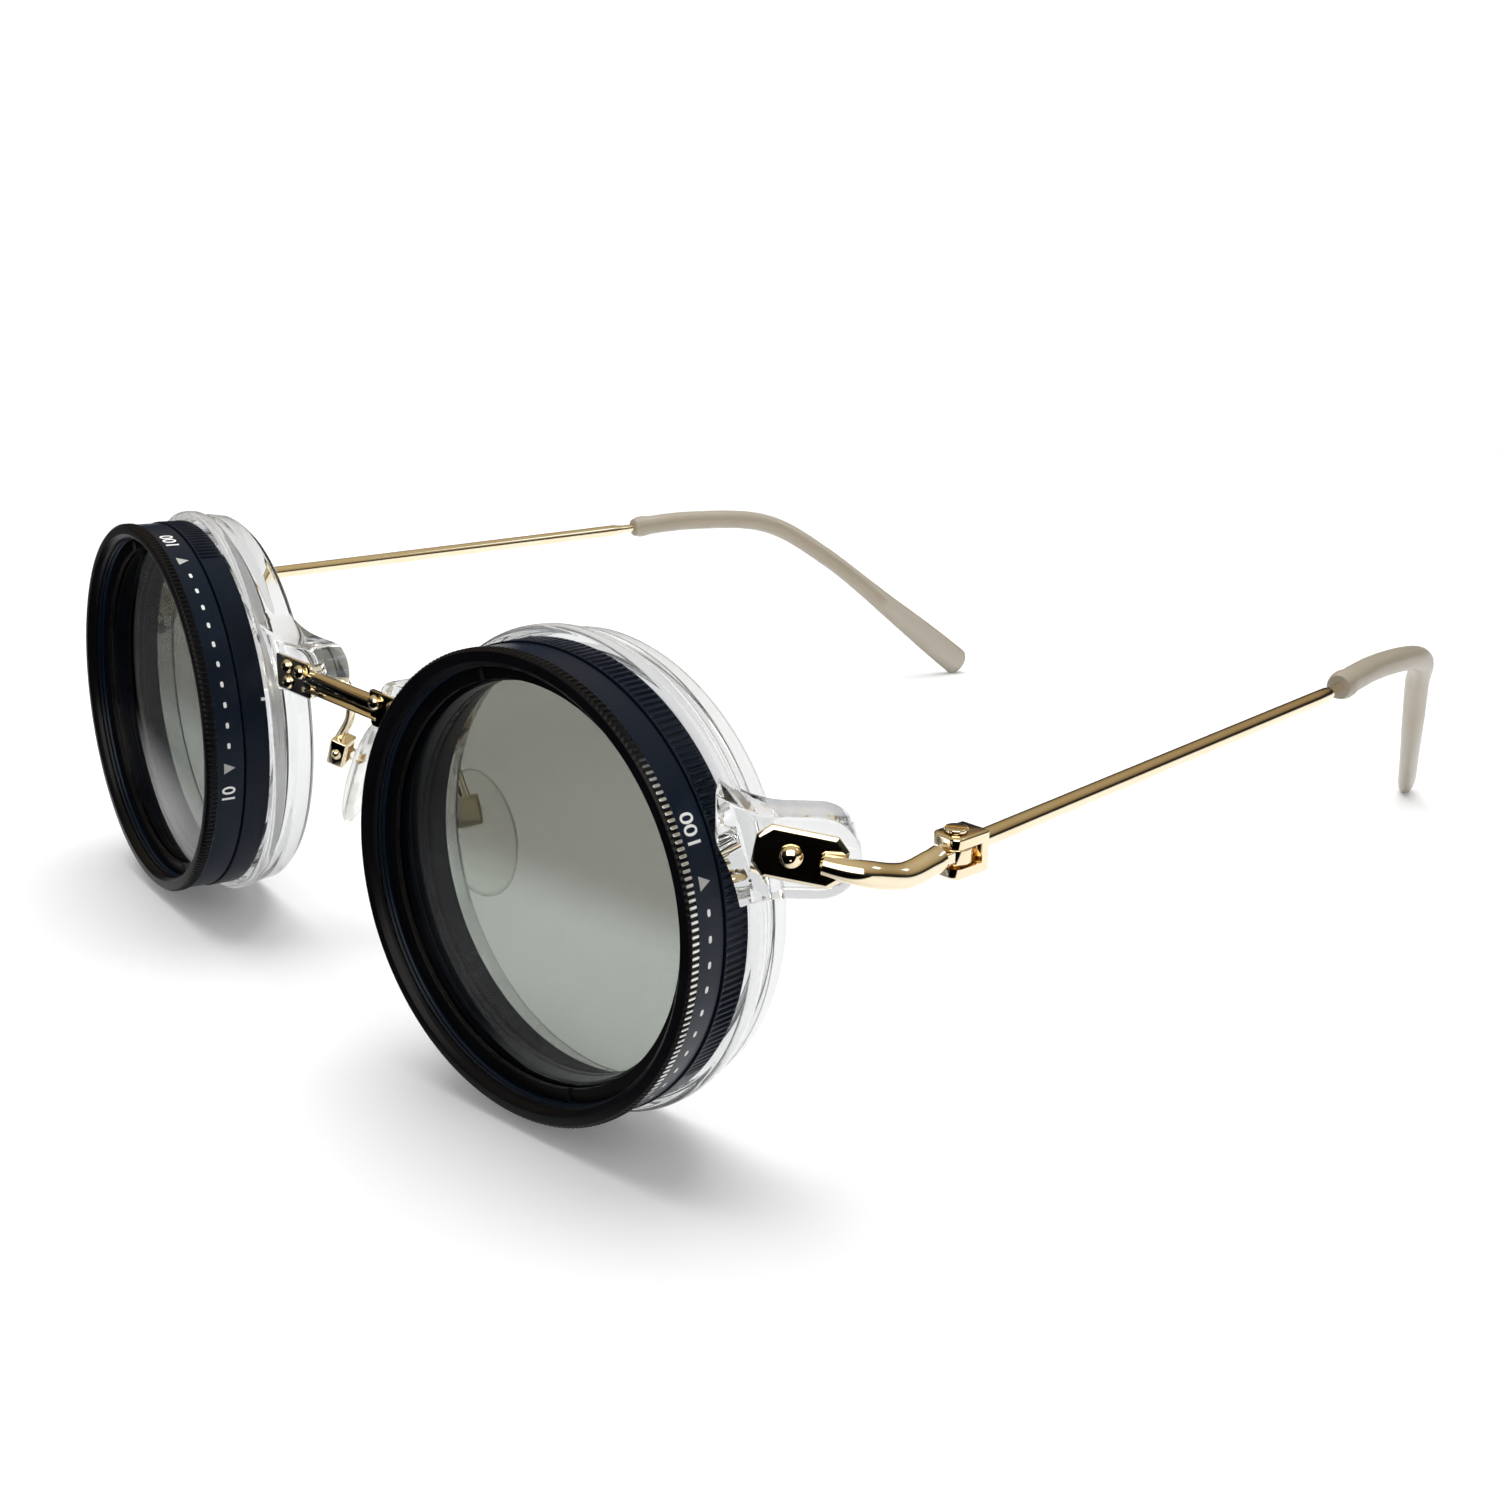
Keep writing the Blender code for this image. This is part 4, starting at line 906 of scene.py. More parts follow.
def right_knurl_shape(step, angle, radius, depth):
    """The same grooves on the temple side of the right rear ring."""
    return knurl_shape(step, pi - angle, radius, depth)


def spanner_shape(step, angle, radius, depth):
    """Two shallow slots across the front face of the retaining ring."""
    front_face = depth < front_glass_depth - rest_gap - retainer_thickness / 2
    across = abs(sin(angle - spanner_slot_angle)) * radius
    return 0.0, (spanner_slot_depth if front_face and across < spanner_slot_width / 2 else 0.0)


def mouth_thread():
    """The threads in the mouth of the front ring, from back to front."""
    points = []
    for turn in range(mouth_thread_turns, 0, -1):
        crest = mouth_chamfer + mouth_thread_start + mouth_thread_pitch * turn
        points.append((thread_radius, crest))
        for share in mouth_thread_floor:
            points.append((thread_radius - mouth_thread_depth, crest - mouth_thread_pitch * share))
    return points


def front_ring_mesh():
    """The turning ring with its chamfered lip, teeth, threads and scale band."""
    front_seat = front_glass_depth + glass_thickness + rest_gap
    outside = [
        (ring_radius - lip_chamfer, 0.0),
        (ring_radius, lip_chamfer),
        (ring_radius, teeth_depth),
        (ring_radius - scale_step, teeth_depth + scale_step),
        (ring_radius - scale_step, front_ring_depth)]
    inside = [
        (nose_radius, front_ring_depth),
        (nose_radius, nose_end),
        (opening_radius, nose_end),
        (opening_radius, front_seat),
        (thread_radius, front_seat)]
    mouth = [(thread_radius, mouth_chamfer), (thread_radius + mouth_chamfer, 0.0)]
    profile = soften(outside + inside + mouth_thread() + mouth, edge_round)
    return turned(profile, tooth_count * tooth_facets, tooth_shape)


def rear_ring_mesh(side):
    """The fixed ring with its knurled sector and the thread that carries it."""
    recess = nose_end + fit_gap
    seat = recess + rear_flange
    rounded = soften([
        (ring_radius, rear_back),
        (thread_radius, rear_back),
        (thread_radius, thread_end),
        (rear_glass_bore, thread_end),
        (rear_glass_bore, seat),
        (opening_radius, seat),
        (opening_radius, recess),
        (rear_bore_radius, recess),
        (rear_bore_radius, rear_front),
        (ring_radius, rear_front)], edge_round)
    depths = [rear_front + knurl_margin * share for share in knurl_fade]
    depths += [rear_back - knurl_margin * share for share in reversed(knurl_fade)]
    profile = rounded + [Vector((ring_radius, depth)) for depth in depths]
    relief = knurl_shape if side == "left" else right_knurl_shape
    return turned(profile, knurl_count * tooth_facets, relief)


def plain_ring(outer, inner, front, back, steps=ring_steps, relief=None):
    """A ring of plain rectangular section with rounded edges, between two depths."""
    section = [(outer, front), (outer, back), (inner, back), (inner, front)]
    return turned(soften(section, edge_round), steps, relief)


def disc(radius, front):
    """A glass disc with ground edges, from its front depth on."""
    back = front + glass_thickness
    outline = [(0.0, -front), (radius - glass_edge, -front), (radius, -front - glass_edge),
               (radius, glass_edge - back), (radius - glass_edge, -back), (0.0, -back)]
    return turned_solid(outline, ring_steps)


def ink_layer(outline):
    """A thin layer of ink with the given outline."""
    return extruded(outline, -ink_thickness, ink_thickness)


def label_mesh(text):
    """A plain number as a thin layer of ink, its middle at the origin."""
    curve = bpy.data.curves.new("label", "FONT")
    curve.body = text
    curve.size = label_height
    curve.align_x = "CENTER"
    curve.align_y = "CENTER"
    curve.offset = label_weight * label_height
    curve.extrude = ink_thickness
    return applied(in_scene("label", curve))


def paint(name, side, flat, material, angle, band):
    """Show ink on a ring's band. The flat mesh's X runs round the ring and its Y towards the front."""
    body, radius, depth = band
    for vertex in flat.vertices:
        turn = angle + vertex.co.x / radius
        out = radius + vertex.co.z
        vertex.co = (out * cos(turn), out * sin(turn), -depth + vertex.co.y)
    show(f"{name}_{side}", flat, material, body, matrix=eye_matrix(side, front_at))


def scale_marks(side):
    """The tint scale: a number and a triangle at each end of a row of short marks."""
    turn = tint_at_rest[side]
    band = ("front_filter_" + side, ring_radius - scale_step, scale_depth)
    half_long = mark_length / 2
    half_wide = mark_width / 2
    dash = arc(half_long - half_wide, 0.0, half_wide, -pi / 2, pi / 2, mark_arc_steps)
    dash += arc(half_wide - half_long, 0.0, half_wide, pi / 2, 3 * pi / 2, mark_arc_steps)
    angles = [first_mark - mark_margin - mark_pitch * number for number in range(mark_count)]
    for number, angle in enumerate(angles):
        paint(f"scale_mark_{number + 1}", side, ink_layer(dash), ink, angle + turn, band)
    second_mark = angles[-1] - mark_margin
    half = triangle_size / 2
    triangle = [(-half, half), (0.0, -half), (half, half)]
    ends = [(first_mark, first_mark + label_gaps[0]), (second_mark, second_mark - label_gaps[1])]
    for number, (triangle_at, label_at) in enumerate(ends):
        paint(f"scale_triangle_{number + 1}", side, ink_layer(triangle), grey_ink, triangle_at + turn, band)
        paint(f"scale_label_{number + 1}", side, label_mesh(label_texts[number]), ink, label_at + turn, band)
    half = index_length / 2
    corners = [(-half_wide, -half), (half_wide, -half), (half_wide, half), (-half_wide, half)]
    paint("index_mark", side, ink_layer(corners), ink, index_angle, ("frame", ring_radius, rear_back - half))


def filters(side):
    """Both filters of one eye and the ring that holds them in the rim."""
    place = eye_matrix(side, front_at)
    turning = "front_filter_" + side
    retainer_front = front_glass_depth - rest_gap - retainer_thickness
    front_retainer = plain_ring(front_glass_radius, front_retainer_opening, retainer_front,
                                retainer_front + retainer_thickness, ring_steps * 3, spanner_shape)
    rear_glass_depth = nose_end + fit_gap + rear_flange + rest_gap
    retainer_front = rear_glass_depth + glass_thickness + rest_gap
    rear_retainer = plain_ring(rear_glass_radius, rear_retainer_opening, retainer_front,
                               retainer_front + retainer_thickness)
    mount = plain_ring(mount_outer, mount_inner, rim_front + rest_gap, rim_front + mount_length)
    pieces = [
        ("front_ring", front_ring_mesh(), toothed[side], turning, "anodised"),
        ("front_glass", disc(front_glass_radius, front_glass_depth), front_tint, turning, "filter_glass"),
        ("front_retaining_ring", front_retainer, charcoal, turning, "anodised"),
        ("rear_ring", rear_ring_mesh(side), navy, "frame", "anodised"),
        ("rear_glass", disc(rear_glass_radius, rear_glass_depth), rear_tint, "frame", "filter_glass"),
        ("rear_retaining_ring", rear_retainer, charcoal, "frame", "anodised"),
        ("mount_ring", mount, bare_aluminium, "frame", "anodised")]
    for stem, mesh, material, body, slot in pieces:
        show(f"{stem}_{side}_fine", mesh, material, body, [f"{stem}_{side}"], place)
    scale_marks(side)


# Clear rim

def lug_outline(root_half, neck_half, reach, root_x, lobe_rise=0.0):
    """A lug that sweeps in from a tall root to a neck and ends in a round lobe, pointing along +X."""
    neck_x = reach - neck_half
    shares = [step / sweep_steps for step in range(sweep_steps + 1)]
    halves = [(root_half - neck_half) * (1 - share) ** sweep_power + neck_half for share in shares]
    xs = [root_x + (neck_x * sweep_share - root_x) * share for share in shares]
    rises = [lobe_rise * share ** lobe_power for share in shares]
    lower = [(x, rise - half) for x, rise, half in zip(xs, rises, halves)]
    upper = [(x, rise + half) for x, rise, half in zip(xs, rises, halves)]
    lobe = arc(neck_x, lobe_rise, neck_half, -pi / 2, pi / 2, lobe_steps)
    return lower + lobe + upper[::-1]


def lug_frame():
    """The temple lug's panel: X runs outward along it, Y up, Z out of its face."""
    along = Vector((cos(lug_slant), sin(lug_slant), 0.0))
    up = Vector((0.0, 0.0, 1.0))
    face = along.cross(up)
    corner = eye_point(rim_radius, lug_height, rim_front) + face * lug_panel_rise
    return Matrix.Translation(corner) @ Matrix((along, up, face)).transposed().to_4x4()


def face_forward(where):
    """A frame whose Z points forward, at a point of the front."""
    return Matrix.Translation(where) @ Matrix.Rotation(pi / 2, 4, "X")


def nose_lug_root():
    """Where the nose lug leaves the rim's wall, at the lug's middle height."""
    return eye_point(rim_bore + nose_lug_root_depth, nose_lug_height, rim_front, inward=True)


def nose_lug_front():
    """How far the nose lug's front face lies behind the filters' front centres."""
    return nose_lug_root().y + nose_lug_setback


def clear_rim():
    """The left clear rim with its groove, its temple lug and its nose lug."""
    groove_front = rim_front + rim_front_layer
    groove_back = groove_front + rim_groove_width
    groove_radius = rim_radius - rim_groove_depth
    profile = soften([
        (rim_radius - rim_edge, rim_front),
        (rim_radius, rim_front + rim_edge),
        (rim_radius, groove_front - rim_groove_flare / 2),
        (groove_radius, groove_front + rim_groove_flare),
        (groove_radius, groove_back - rim_groove_flare),
        (rim_back_radius, groove_back + rim_groove_flare),
        (rim_back_radius - rim_back_draft, rim_back - 2 * rim_edge),
        (rim_back_radius - 2 * rim_edge, rim_back),
        (rim_seat_radius + rim_edge, rim_back),
        (rim_seat_radius, rim_back - rim_edge),
        (rim_seat_radius, rim_step),
        (rim_bore, rim_step),
        (rim_bore, rim_front)], rim_round)
    ring = moved(turned(profile, ring_steps), eye_matrix("left"))
    outline = lug_outline(lug_root_half, lug_neck_half, lug_reach, -lug_root_back, lug_lobe_rise)
    lug = bevelled(extruded(outline, -lug_thickness, 0.0), lug_edge, lug_frame())
    root = nose_lug_root()
    nose_outline = lug_outline(nose_lug_root_half, nose_lug_neck_half, root.x - nose_lug_tip,
                               -nose_lug_root_back)
    nose_outline = [(-x, y) for x, y in reversed(nose_outline)]
    nose_place = face_forward(Vector((root.x, nose_lug_front(), nose_lug_height)))
    nose_lug = bevelled(extruded(nose_outline, -nose_lug_thickness, 0.0), lug_edge, nose_place)
    spaces = [
        (rim_bore + lug_weld, -rim_back - lug_thickness),
        (ring_radius + seat_gap, -rim_front - lug_weld)]
    trimmed = []
    for block in (lug, nose_lug):
        cut = [moved(cylinder(radius, low, lug_thickness, ring_steps), eye_matrix("left"))
               for radius, low in spaces]
        trimmed.append(combined(block, cut=cut))
    show_pair("rim", combined(ring, trimmed), acetate, "frame")


# Metal parts

def ball_rivet(shaft, head, low, head_low):
    """A shaft with a ball head and a small dimple in its top."""
    angles = [radians(90.0 * step / dome_steps) for step in range(dome_steps + 1)]
    dome = [(head * sin(angle), head_low + head * head_dome * cos(angle)) for angle in angles]
    dome = [point for point in dome if point[0] > dimple_radius]
    top = dome[0][1]
    floor = top - dimple_radius
    dimple = [(0.0, floor), (dimple_radius * dimple_floor_share, floor), (dimple_radius, top)]
    return turned_solid(dimple + dome + [(shaft, head_low), (shaft, low), (0.0, low)])


def slotted_screw(shaft, head, low, head_low, head_height):
    """A screw with a low rounded head and a slot in it."""
    top = head_low + head_height
    edge = head_height / 2
    angles = [pi / 2 * step / screw_arc_steps for step in range(screw_arc_steps + 1)]
    rim_arc = [(head - edge + edge * sin(angle), top - edge + edge * cos(angle)) for angle in angles]
    outline = [(0.0, top)] + rim_arc + [(head, head_low), (shaft, head_low), (shaft, low), (0.0, low)]
    half = slot_width / 2
    slot = box((-head, -half, top - head_height * slot_depth_share), (head, half, top + head_height))
    return combined(turned_solid(outline), cut=[slot])


def hinge_place():
    """The hinge axis in the front's frame, at the middle of the fork."""
    return joint_at["temple_fold_left"] - front_at


def plate_frame():
    """The hinge plate's frame at the middle of its front end, X along it and Z out of its face."""
    tilt = Matrix.Rotation(-plate_tilt, 4, "Z")
    rise = plate_rise + plate_length / 2 * sin(plate_tilt)
    return lug_frame() @ Matrix.Translation((plate_start, rise, seat_gap)) @ tilt


def chamfered_outline(length, height, chamfer):
    """A rectangle with cut corners, from x = 0 to its length."""
    half = height / 2
    return [(chamfer, -half), (length - chamfer, -half), (length, -half + chamfer), (length, half - chamfer),
            (length - chamfer, half), (chamfer, half), (0.0, half - chamfer), (0.0, -half + chamfer)]


def inset_outline(outline, margin, length, height):
    """The same cut rectangle, smaller all round by a margin."""
    middle = Vector((length / 2, 0.0))
    scale_x = (length - 2 * margin) / length
    scale_y = (height - 2 * margin) / height
    return [(middle.x + (x - middle.x) * scale_x, y * scale_y) for x, y in outline]


def bordered_plate(length, height, thickness, chamfer, border):
    """A thin plate with cut corners whose face has a wide bevelled border."""
    outer = chamfered_outline(length, height, chamfer)
    inner = inset_outline(outer, border, length, height)
    levels = ((outer, 0.0), (outer, thickness - border / 2), (inner, thickness))
    loops = [[(x, y, z) for x, y in outline] for outline, z in levels]
    plate = skinned(loops, plate_sharp_angle)
    return bevelled(plate, plate_edge, None, fine_bevel_steps, plate_bevel_angle)


def end_piece():
    """The hinge plate, the elbow bar and the hinge knuckle, with the plate's rivet."""
    hinge = hinge_place()
    at_hinge = Matrix.Translation(hinge)
    frame_at = plate_frame()
    plate = bordered_plate(plate_length, plate_height, plate_thickness, plate_chamfer, plate_border)
    leave = frame_at @ Vector((plate_length - elbow_overlap, 0.0, elbow_radius * elbow_slim))
    turn_out = frame_at @ Vector((plate_length + elbow_radius, 0.0, elbow_radius))
    dip_y = (turn_out.y + hinge.y) / 2 - elbow_dip_forward
    dip = Vector((hinge.x - elbow_dip_in, dip_y, hinge.z - elbow_dip))
    arrive = Vector((hinge.x, hinge.y - fork_width, hinge.z - elbow_arrive_drop))
    fork_sweep = fork_corner + (fork_width / 2 - fork_corner) * sqrt(2.0) + fit_gap
    end = Vector((hinge.x, hinge.y - fork_sweep, hinge.z))
    path = spline_points([leave, turn_out, dip, arrive, end], elbow_steps)
    swells = [min(1.0, step / elbow_steps / elbow_slim_share) for step in range(elbow_steps + 1)]
    radii = [elbow_radius * (elbow_slim + (1.0 - elbow_slim) * swell) for swell in swells]
    radii[0] *= elbow_start_share
    half = fork_height / 2 - fork_leaf - fit_gap
    tang_half = tang_width / 2
    tang = box((-tang_half, -fork_sweep - tang_half / 2, rest_gap - half),
               (tang_half, knuckle_radius / 3, half - rest_gap))
    knuckle = cylinder(knuckle_radius, -half, half)
    show_pair("end_piece", combined(moved(plate, frame_at), [
        tube(path, radii),
        moved(bevelled(tang, tang_edge), at_hinge),
        moved(bevelled(knuckle, knuckle_edge), at_hinge)]))
    rivet = ball_rivet(rivet_shaft_radius, rivet_head_radius, -rivet_length / 2, seat_gap + plate_thickness)
    rivet_at = frame_at @ Matrix.Translation((rivet_along, 0.0, -seat_gap))
    show_pair("end_piece_rivet", moved(rivet, rivet_at))


def temple_line():
    """The temple's centre line in the hinge's frame: the rod's start, then the sleeve's points."""
    rim_low = rim_radius * cos(lens_lean) + (rim_front + rim_front_layer) * sin(lens_lean)
    tip_drop = hinge_place().z + rim_low - tip_stand
    rod_start = Vector((0.0, knuckle_radius + fit_gap + fork_web / 2, rod_rise))
    sleeve_start = Vector((-sleeve_start_in, sleeve_start_back, rod_rise))
    bend = Vector((-bend_in, bend_back, -bend_drop))
    tip = Vector((-tip_in, tip_back, -tip_drop))
    before = sleeve_start.lerp(bend, 0.5) + Vector((0.0, 0.0, before_bend_lift))
    after = bend.lerp(tip, after_bend_share) + Vector((0.0, 0.0, after_bend_lift))
    below = bend.lerp(tip, below_bend_share) + Vector((0.0, 0.0, below_bend_lift))
    return rod_start, spline_points([sleeve_start, before, bend, after, below, tip], sleeve_steps)


def temple():
    """The hinge fork with its rod and core wire, the tip sleeve on it and the hinge screw."""
    at_hinge = Matrix.Translation(hinge_place())
    rod_start, line = temple_line()
    straight = [rod_start.lerp(line[0], step / rod_steps) for step in range(rod_steps + 1)]
    core = [point for point in line if (point - line[-1]).length > core_stop_back][1:]
    radii = [rod_radius] * len(straight)
    for number in range(len(core)):
        thinner = (rod_radius - core_radius) * (number + 1) * core_start_share
        radii.append(max(core_radius, rod_radius - thinner))
    half = fork_width / 2
    turn = half - fork_corner
    back = knuckle_radius + fit_gap + fork_web
    outline = arc(-turn, -turn, fork_corner, -pi, -pi / 2, fork_arc_steps)
    outline += arc(turn, -turn, fork_corner, -pi / 2, 0.0, fork_arc_steps)
    outline += [(half, back), (-half, back)]
    fork = bevelled(extruded(outline, -fork_height / 2, fork_height / 2), block_edge)
    slot_half = fork_height / 2 - fork_leaf
    room = box((-fork_width, -fork_width, -slot_half), (fork_width, knuckle_radius + fit_gap, slot_half))
    hole = cylinder(hinge_screw_radius + rest_gap, -fork_height, fork_height)
    arm = combined(fork, [tube(straight + core, radii)], [room, hole])
    show_pair("temple_arm", moved(arm, at_hinge), body="temple_SIDE")
    screw = slotted_screw(hinge_screw_radius, hinge_head_radius, -fork_height / 2,
                          fork_height / 2 + rest_gap, hinge_head_height)
    screw = moved(screw, Matrix.Rotation(slot_turn, 4, "Z"))
    show_pair("hinge_screw", moved(screw, at_hinge), body="temple_SIDE")
    show_pair("temple_tip", moved(tip_sleeve(line), at_hinge), sleeve_plastic, "temple_SIDE")


def tip_sleeve(line):
    """The temple tip: a round sleeve with a collar that flattens into a rounded paddle."""
    length = 0.0
    points = line[sleeve_first_step:]
    last = len(points) - 1
    half_widths = []
    half_heights = []
    for number, point in enumerate(points):
        if number:
            length += (point - points[number - 1]).length
        swell = max(0.0, (number / last - paddle_start) / (1.0 - paddle_start))
        bulge = sin(pi / 2 * swell) ** 2
        collar = sleeve_collar * max(0.0, 1.0 - abs(length / sleeve_collar_at - 1.0))
        mouth = sleeve_mouth_drop * max(0.0, 1.0 - length / sleeve_mouth_reach)
        half_widths.append(sleeve_radius + (paddle_half_thickness - sleeve_radius) * bulge + collar - mouth)
        half_heights.append(sleeve_radius + (paddle_half_width - sleeve_radius) * bulge + collar - mouth)
    direction = (points[-1] - points[-2]).normalized()
    end_width = half_widths[-1]
    end_height = half_heights[-1]
    base = points[-1]
    for step in range(1, paddle_end_steps + 1):
        turn = pi / 2 * step / (paddle_end_steps + paddle_end_open)
        points.append(base + direction * paddle_half_width * paddle_end_share * sin(turn))
        half_widths.append(end_width * cos(turn))
        half_heights.append(end_height * cos(turn))
    return loft(points, half_widths, half_heights)


def bridge():
    """The bridge bar, a round body over a thin flange, with a plate and three rivets at each end."""
    plate_back = nose_lug_front() - seat_gap
    plate_front = plate_back - bridge_plate_thickness
    bar_end = bridge_plate_inner + bar_overlap
    bar_front = plate_front - bar_forward
    depth = bar_thickness + bar_forward
    top = bridge_height + bar_height / 2
    bottom = bridge_height - bar_height / 2
    flange_top = bottom + flange_height
    body_low = flange_top + flange_gap
    section = [(share, body_low + (top - body_low) * rise) for share, rise in bar_body]
    section += [(flange_root, flange_top + flange_gap / 2), (flange_front, bottom + flange_gap)]
    section += [(share, bottom) for share in flange_foot] + [(1.0, flange_top), (1.0, top - flange_height)]
    rounded = soften([(bar_front + depth * share, height) for share, height in section], bar_round,
                     bar_round_steps)
    loops = [[(x, point.x, point.y) for point in rounded] for x in (-bar_end, 0.0, bar_end)]
    bar = skinned(loops, profile_sharp_angle)
    bar = bevelled(bar, bar_end_edge, None, fine_bevel_steps, bar_bevel_angle)
    plates = []
    for start in (bridge_plate_inner, -bridge_plate_inner - bridge_plate_length):
        plate = bordered_plate(bridge_plate_length, bridge_plate_height, bridge_plate_thickness,
                               bridge_plate_chamfer, bridge_plate_border)
        plates.append(moved(plate, face_forward(Vector((start, plate_back, bridge_height)))))
    rooms = []
    room_back = plate_back + nose_lug_thickness
    for sign in side_sign.values():
        low, high = sorted((sign * (nose_lug_tip - seat_gap), sign * lens_spacing / 2))
        rooms.append(box((low, plate_back, 0.0), (high, room_back, 2 * nose_lug_height)))
    show("bridge_fine", combined(bar, plates, rooms), gold, "frame", ["bridge"])
    places = {
        "inner": (rivet_inner_along, rivet_row_rise, bar_rivet_lift),
        "outer": (rivet_outer_along, rivet_row_rise, 0.0),
        "lower": (rivet_outer_along, -rivet_row_rise, 0.0)}
    for which, (along, rise, lift) in places.items():
        where = Vector((bridge_plate_inner + along, plate_front, bridge_height + rise))
        rivet = ball_rivet(bridge_rivet_radius, bridge_rivet_head, -bridge_rivet_length, lift)
        show_pair("bridge_rivet_" + which, moved(rivet, face_forward(where)))


# Nose pads

def pad_arm_root():
    """The inner end of the pad arm, inside the nose lug."""
    lug_front = Vector((nose_lug_tip, nose_lug_front(), nose_lug_height))
    return lug_front + Vector((arm_root_out, arm_root_back, -arm_root_drop))


def pad_frame():
    """The nose pad's frame at its box: X across the pad, Y up its length, Z out of its face to the nose."""
    up = (-pad_long - pad_face * (-pad_long).dot(pad_face)).normalized()
    across = up.cross(pad_face).normalized()
    rotation = Matrix((across, up, pad_face)).transposed().to_4x4()
    return Matrix.Translation(pad_arm_root() + box_from_root) @ rotation


def pad_arm():
    """The bent wire arm with its open box, and the screw across the box."""
    root = pad_arm_root()
    place = pad_frame()
    inside = root + Vector((0.0, arm_root_back * arm_inner_share, 0.0))
    leave = root + Vector((0.0, nose_lug_thickness - arm_root_back + arm_leave_back, -arm_leave_drop))
    into_box = place @ Vector((0.0, pad_box_height * arm_end_share, -pad_box_depth / 4))
    bends = [leave, root + arm_upper_bend, root + arm_lower_bend, into_box]
    path = [root, inside] + spline_points(bends, arm_steps)
    wire = tube(path, [pad_arm_radius] * len(path))
    half_w = pad_box_width / 2
    half_h = pad_box_height / 2
    half_d = pad_box_depth / 2
    outer = bevelled(box((-half_w, -half_h, -half_d), (half_w, half_h, half_d)), block_edge)
    pocket = box((pad_box_wall - half_w, pad_box_wall - half_h, pad_box_wall - half_d),
                 (half_w - pad_box_wall, half_h - pad_box_wall, half_d + cut_past))
    show_pair("pad_arm", combined(wire, [moved(outer, place)], [moved(pocket, place)]))
    screw = ball_rivet(pad_screw_radius, pad_screw_head, -half_w - rest_gap, half_w)
    show_pair("pad_screw", moved(screw, place @ Matrix.Rotation(pi / 2, 4, "Y")))


def nose_pad():
    """The clear pad, an oval cushion with a flat back and a tab that sits in the arm's box."""
    shape = bmesh.new()
    bmesh.ops.create_uvsphere(shape, u_segments=pad_facets[0], v_segments=pad_facets[1], radius=0.5)
    for vertex in shape.verts:
        flat = vertex.co.z < 0.0
        vertex.co.x *= pad_width
        vertex.co.y *= pad_length
        vertex.co.z *= pad_thickness * (pad_back_share if flat else 1.0)
        vertex.co.x *= 1.0 - pad_taper * vertex.co.y / pad_length
    cushion = moved(to_mesh(shape), Matrix.Translation((-pad_off_centre, -pad_below_box, pad_behind_box)))
    half_w = pad_box_width / 2 - pad_box_wall - pad_tab_gap
    half_h = pad_box_height / 2 - pad_box_wall - pad_tab_swing
    tab_low = pad_box_wall - pad_box_depth / 2 + pad_tab_gap
    tab = bevelled(box((-half_w, -half_h, tab_low), (half_w, half_h, pad_behind_box)), pad_tab_edge)
    pad = moved(combined(cushion, [tab]), pad_frame())
    show_pair("nose_pad", pad, silicone, "nose_pad_SIDE")


# Camera, floor and light

def add_camera():
    """The photograph's camera."""
    camera = bpy.data.cameras.new("photo_camera")
    camera.lens = camera_lens
    camera.sensor_width = camera_sensor
    camera.clip_start = camera_near
    turn = Matrix.Rotation(camera_yaw, 4, "Z") @ Matrix.Rotation(pi / 2 - camera_pitch, 4, "X")
    roll = Matrix.Rotation(camera_roll, 4, "Z")
    scene.camera = in_scene("photo_camera", camera, Matrix.Translation(camera_place) @ turn @ roll)


def flat_stage(name, half_size, material):
    """A flat square that isn't part of the object."""
    shape = bmesh.new()
    bmesh.ops.create_grid(shape, x_segments=1, y_segments=1, size=half_size)
    sheet = in_scene(name, to_mesh(shape))
    sheet.data.materials.append(material)
    return sheet


def hide_from(holder, *rays):
    """Keep an object out of some kinds of ray."""
    for ray in rays:
        setattr(holder, "visible_" + ray, False)


def add_floor():
    """A pale floor that is white to the eye and keeps the soft shadow. Reflections see its front part
    painted dark, and through the glasses and clear rims it shows a painted shade, darker towards -X and in
    front.
    """
    material = new_material("floor", (floor_albedo,) * 3, floor_roughness, Specular_IOR_Level=0.0)
    shader_of(material).inputs["Emission Color"].default_value = (1.0, 1.0, 1.0, 1.0)
    rays = add_node(material, "ShaderNodeLightPath").outputs
    where = object_place(material)
    x, y = axes_of(material, where)[:2]
    reach = add_node(material, "ShaderNodeVectorMath", operation="LENGTH")
    link(material, where, reach.inputs[0])
    far = ramp_value(material, reach.outputs["Value"], floor_near, floor_far)
    # Painted dark in front of the glasses: wholly for reflections, and for rays through the glasses most
    # towards -X
    behind = ramp_value(material, y, floor_dark_end, floor_light_start)
    refracted = rays["Is Transmission Ray"]
    mirrored = product(material, rays["Is Glossy Ray"], rest_of(material, refracted))
    front_loss = ramp_value(material, x, *through_front_x, *through_front_loss)
    lost = math_node(material, "ADD", mirrored, product(material, refracted, front_loss))
    hidden = product(material, lost, rest_of(material, behind))
    # Painted shade on the floor for every ray through the glasses, deeper towards -X
    through = ramp_value(material, x, *through_dim_x, 1.0 - through_dim, 1.0 - through_light)
    dimmed = product(material, refracted, through)
    lit = product(material, rest_of(material, hidden), rest_of(material, dimmed))
    feed(material, "Base Color", product(material, lit, rest_of(material, far), floor_albedo))
    plain = ramp_value(material, far, 0.0, 1.0, floor_glow, 1.0)
    glow = product(material, plain, lit, rest_of(material, rays["Is Diffuse Ray"]))
    feed(material, "Emission Strength", glow)
    flat_stage("floor", floor_size, material)


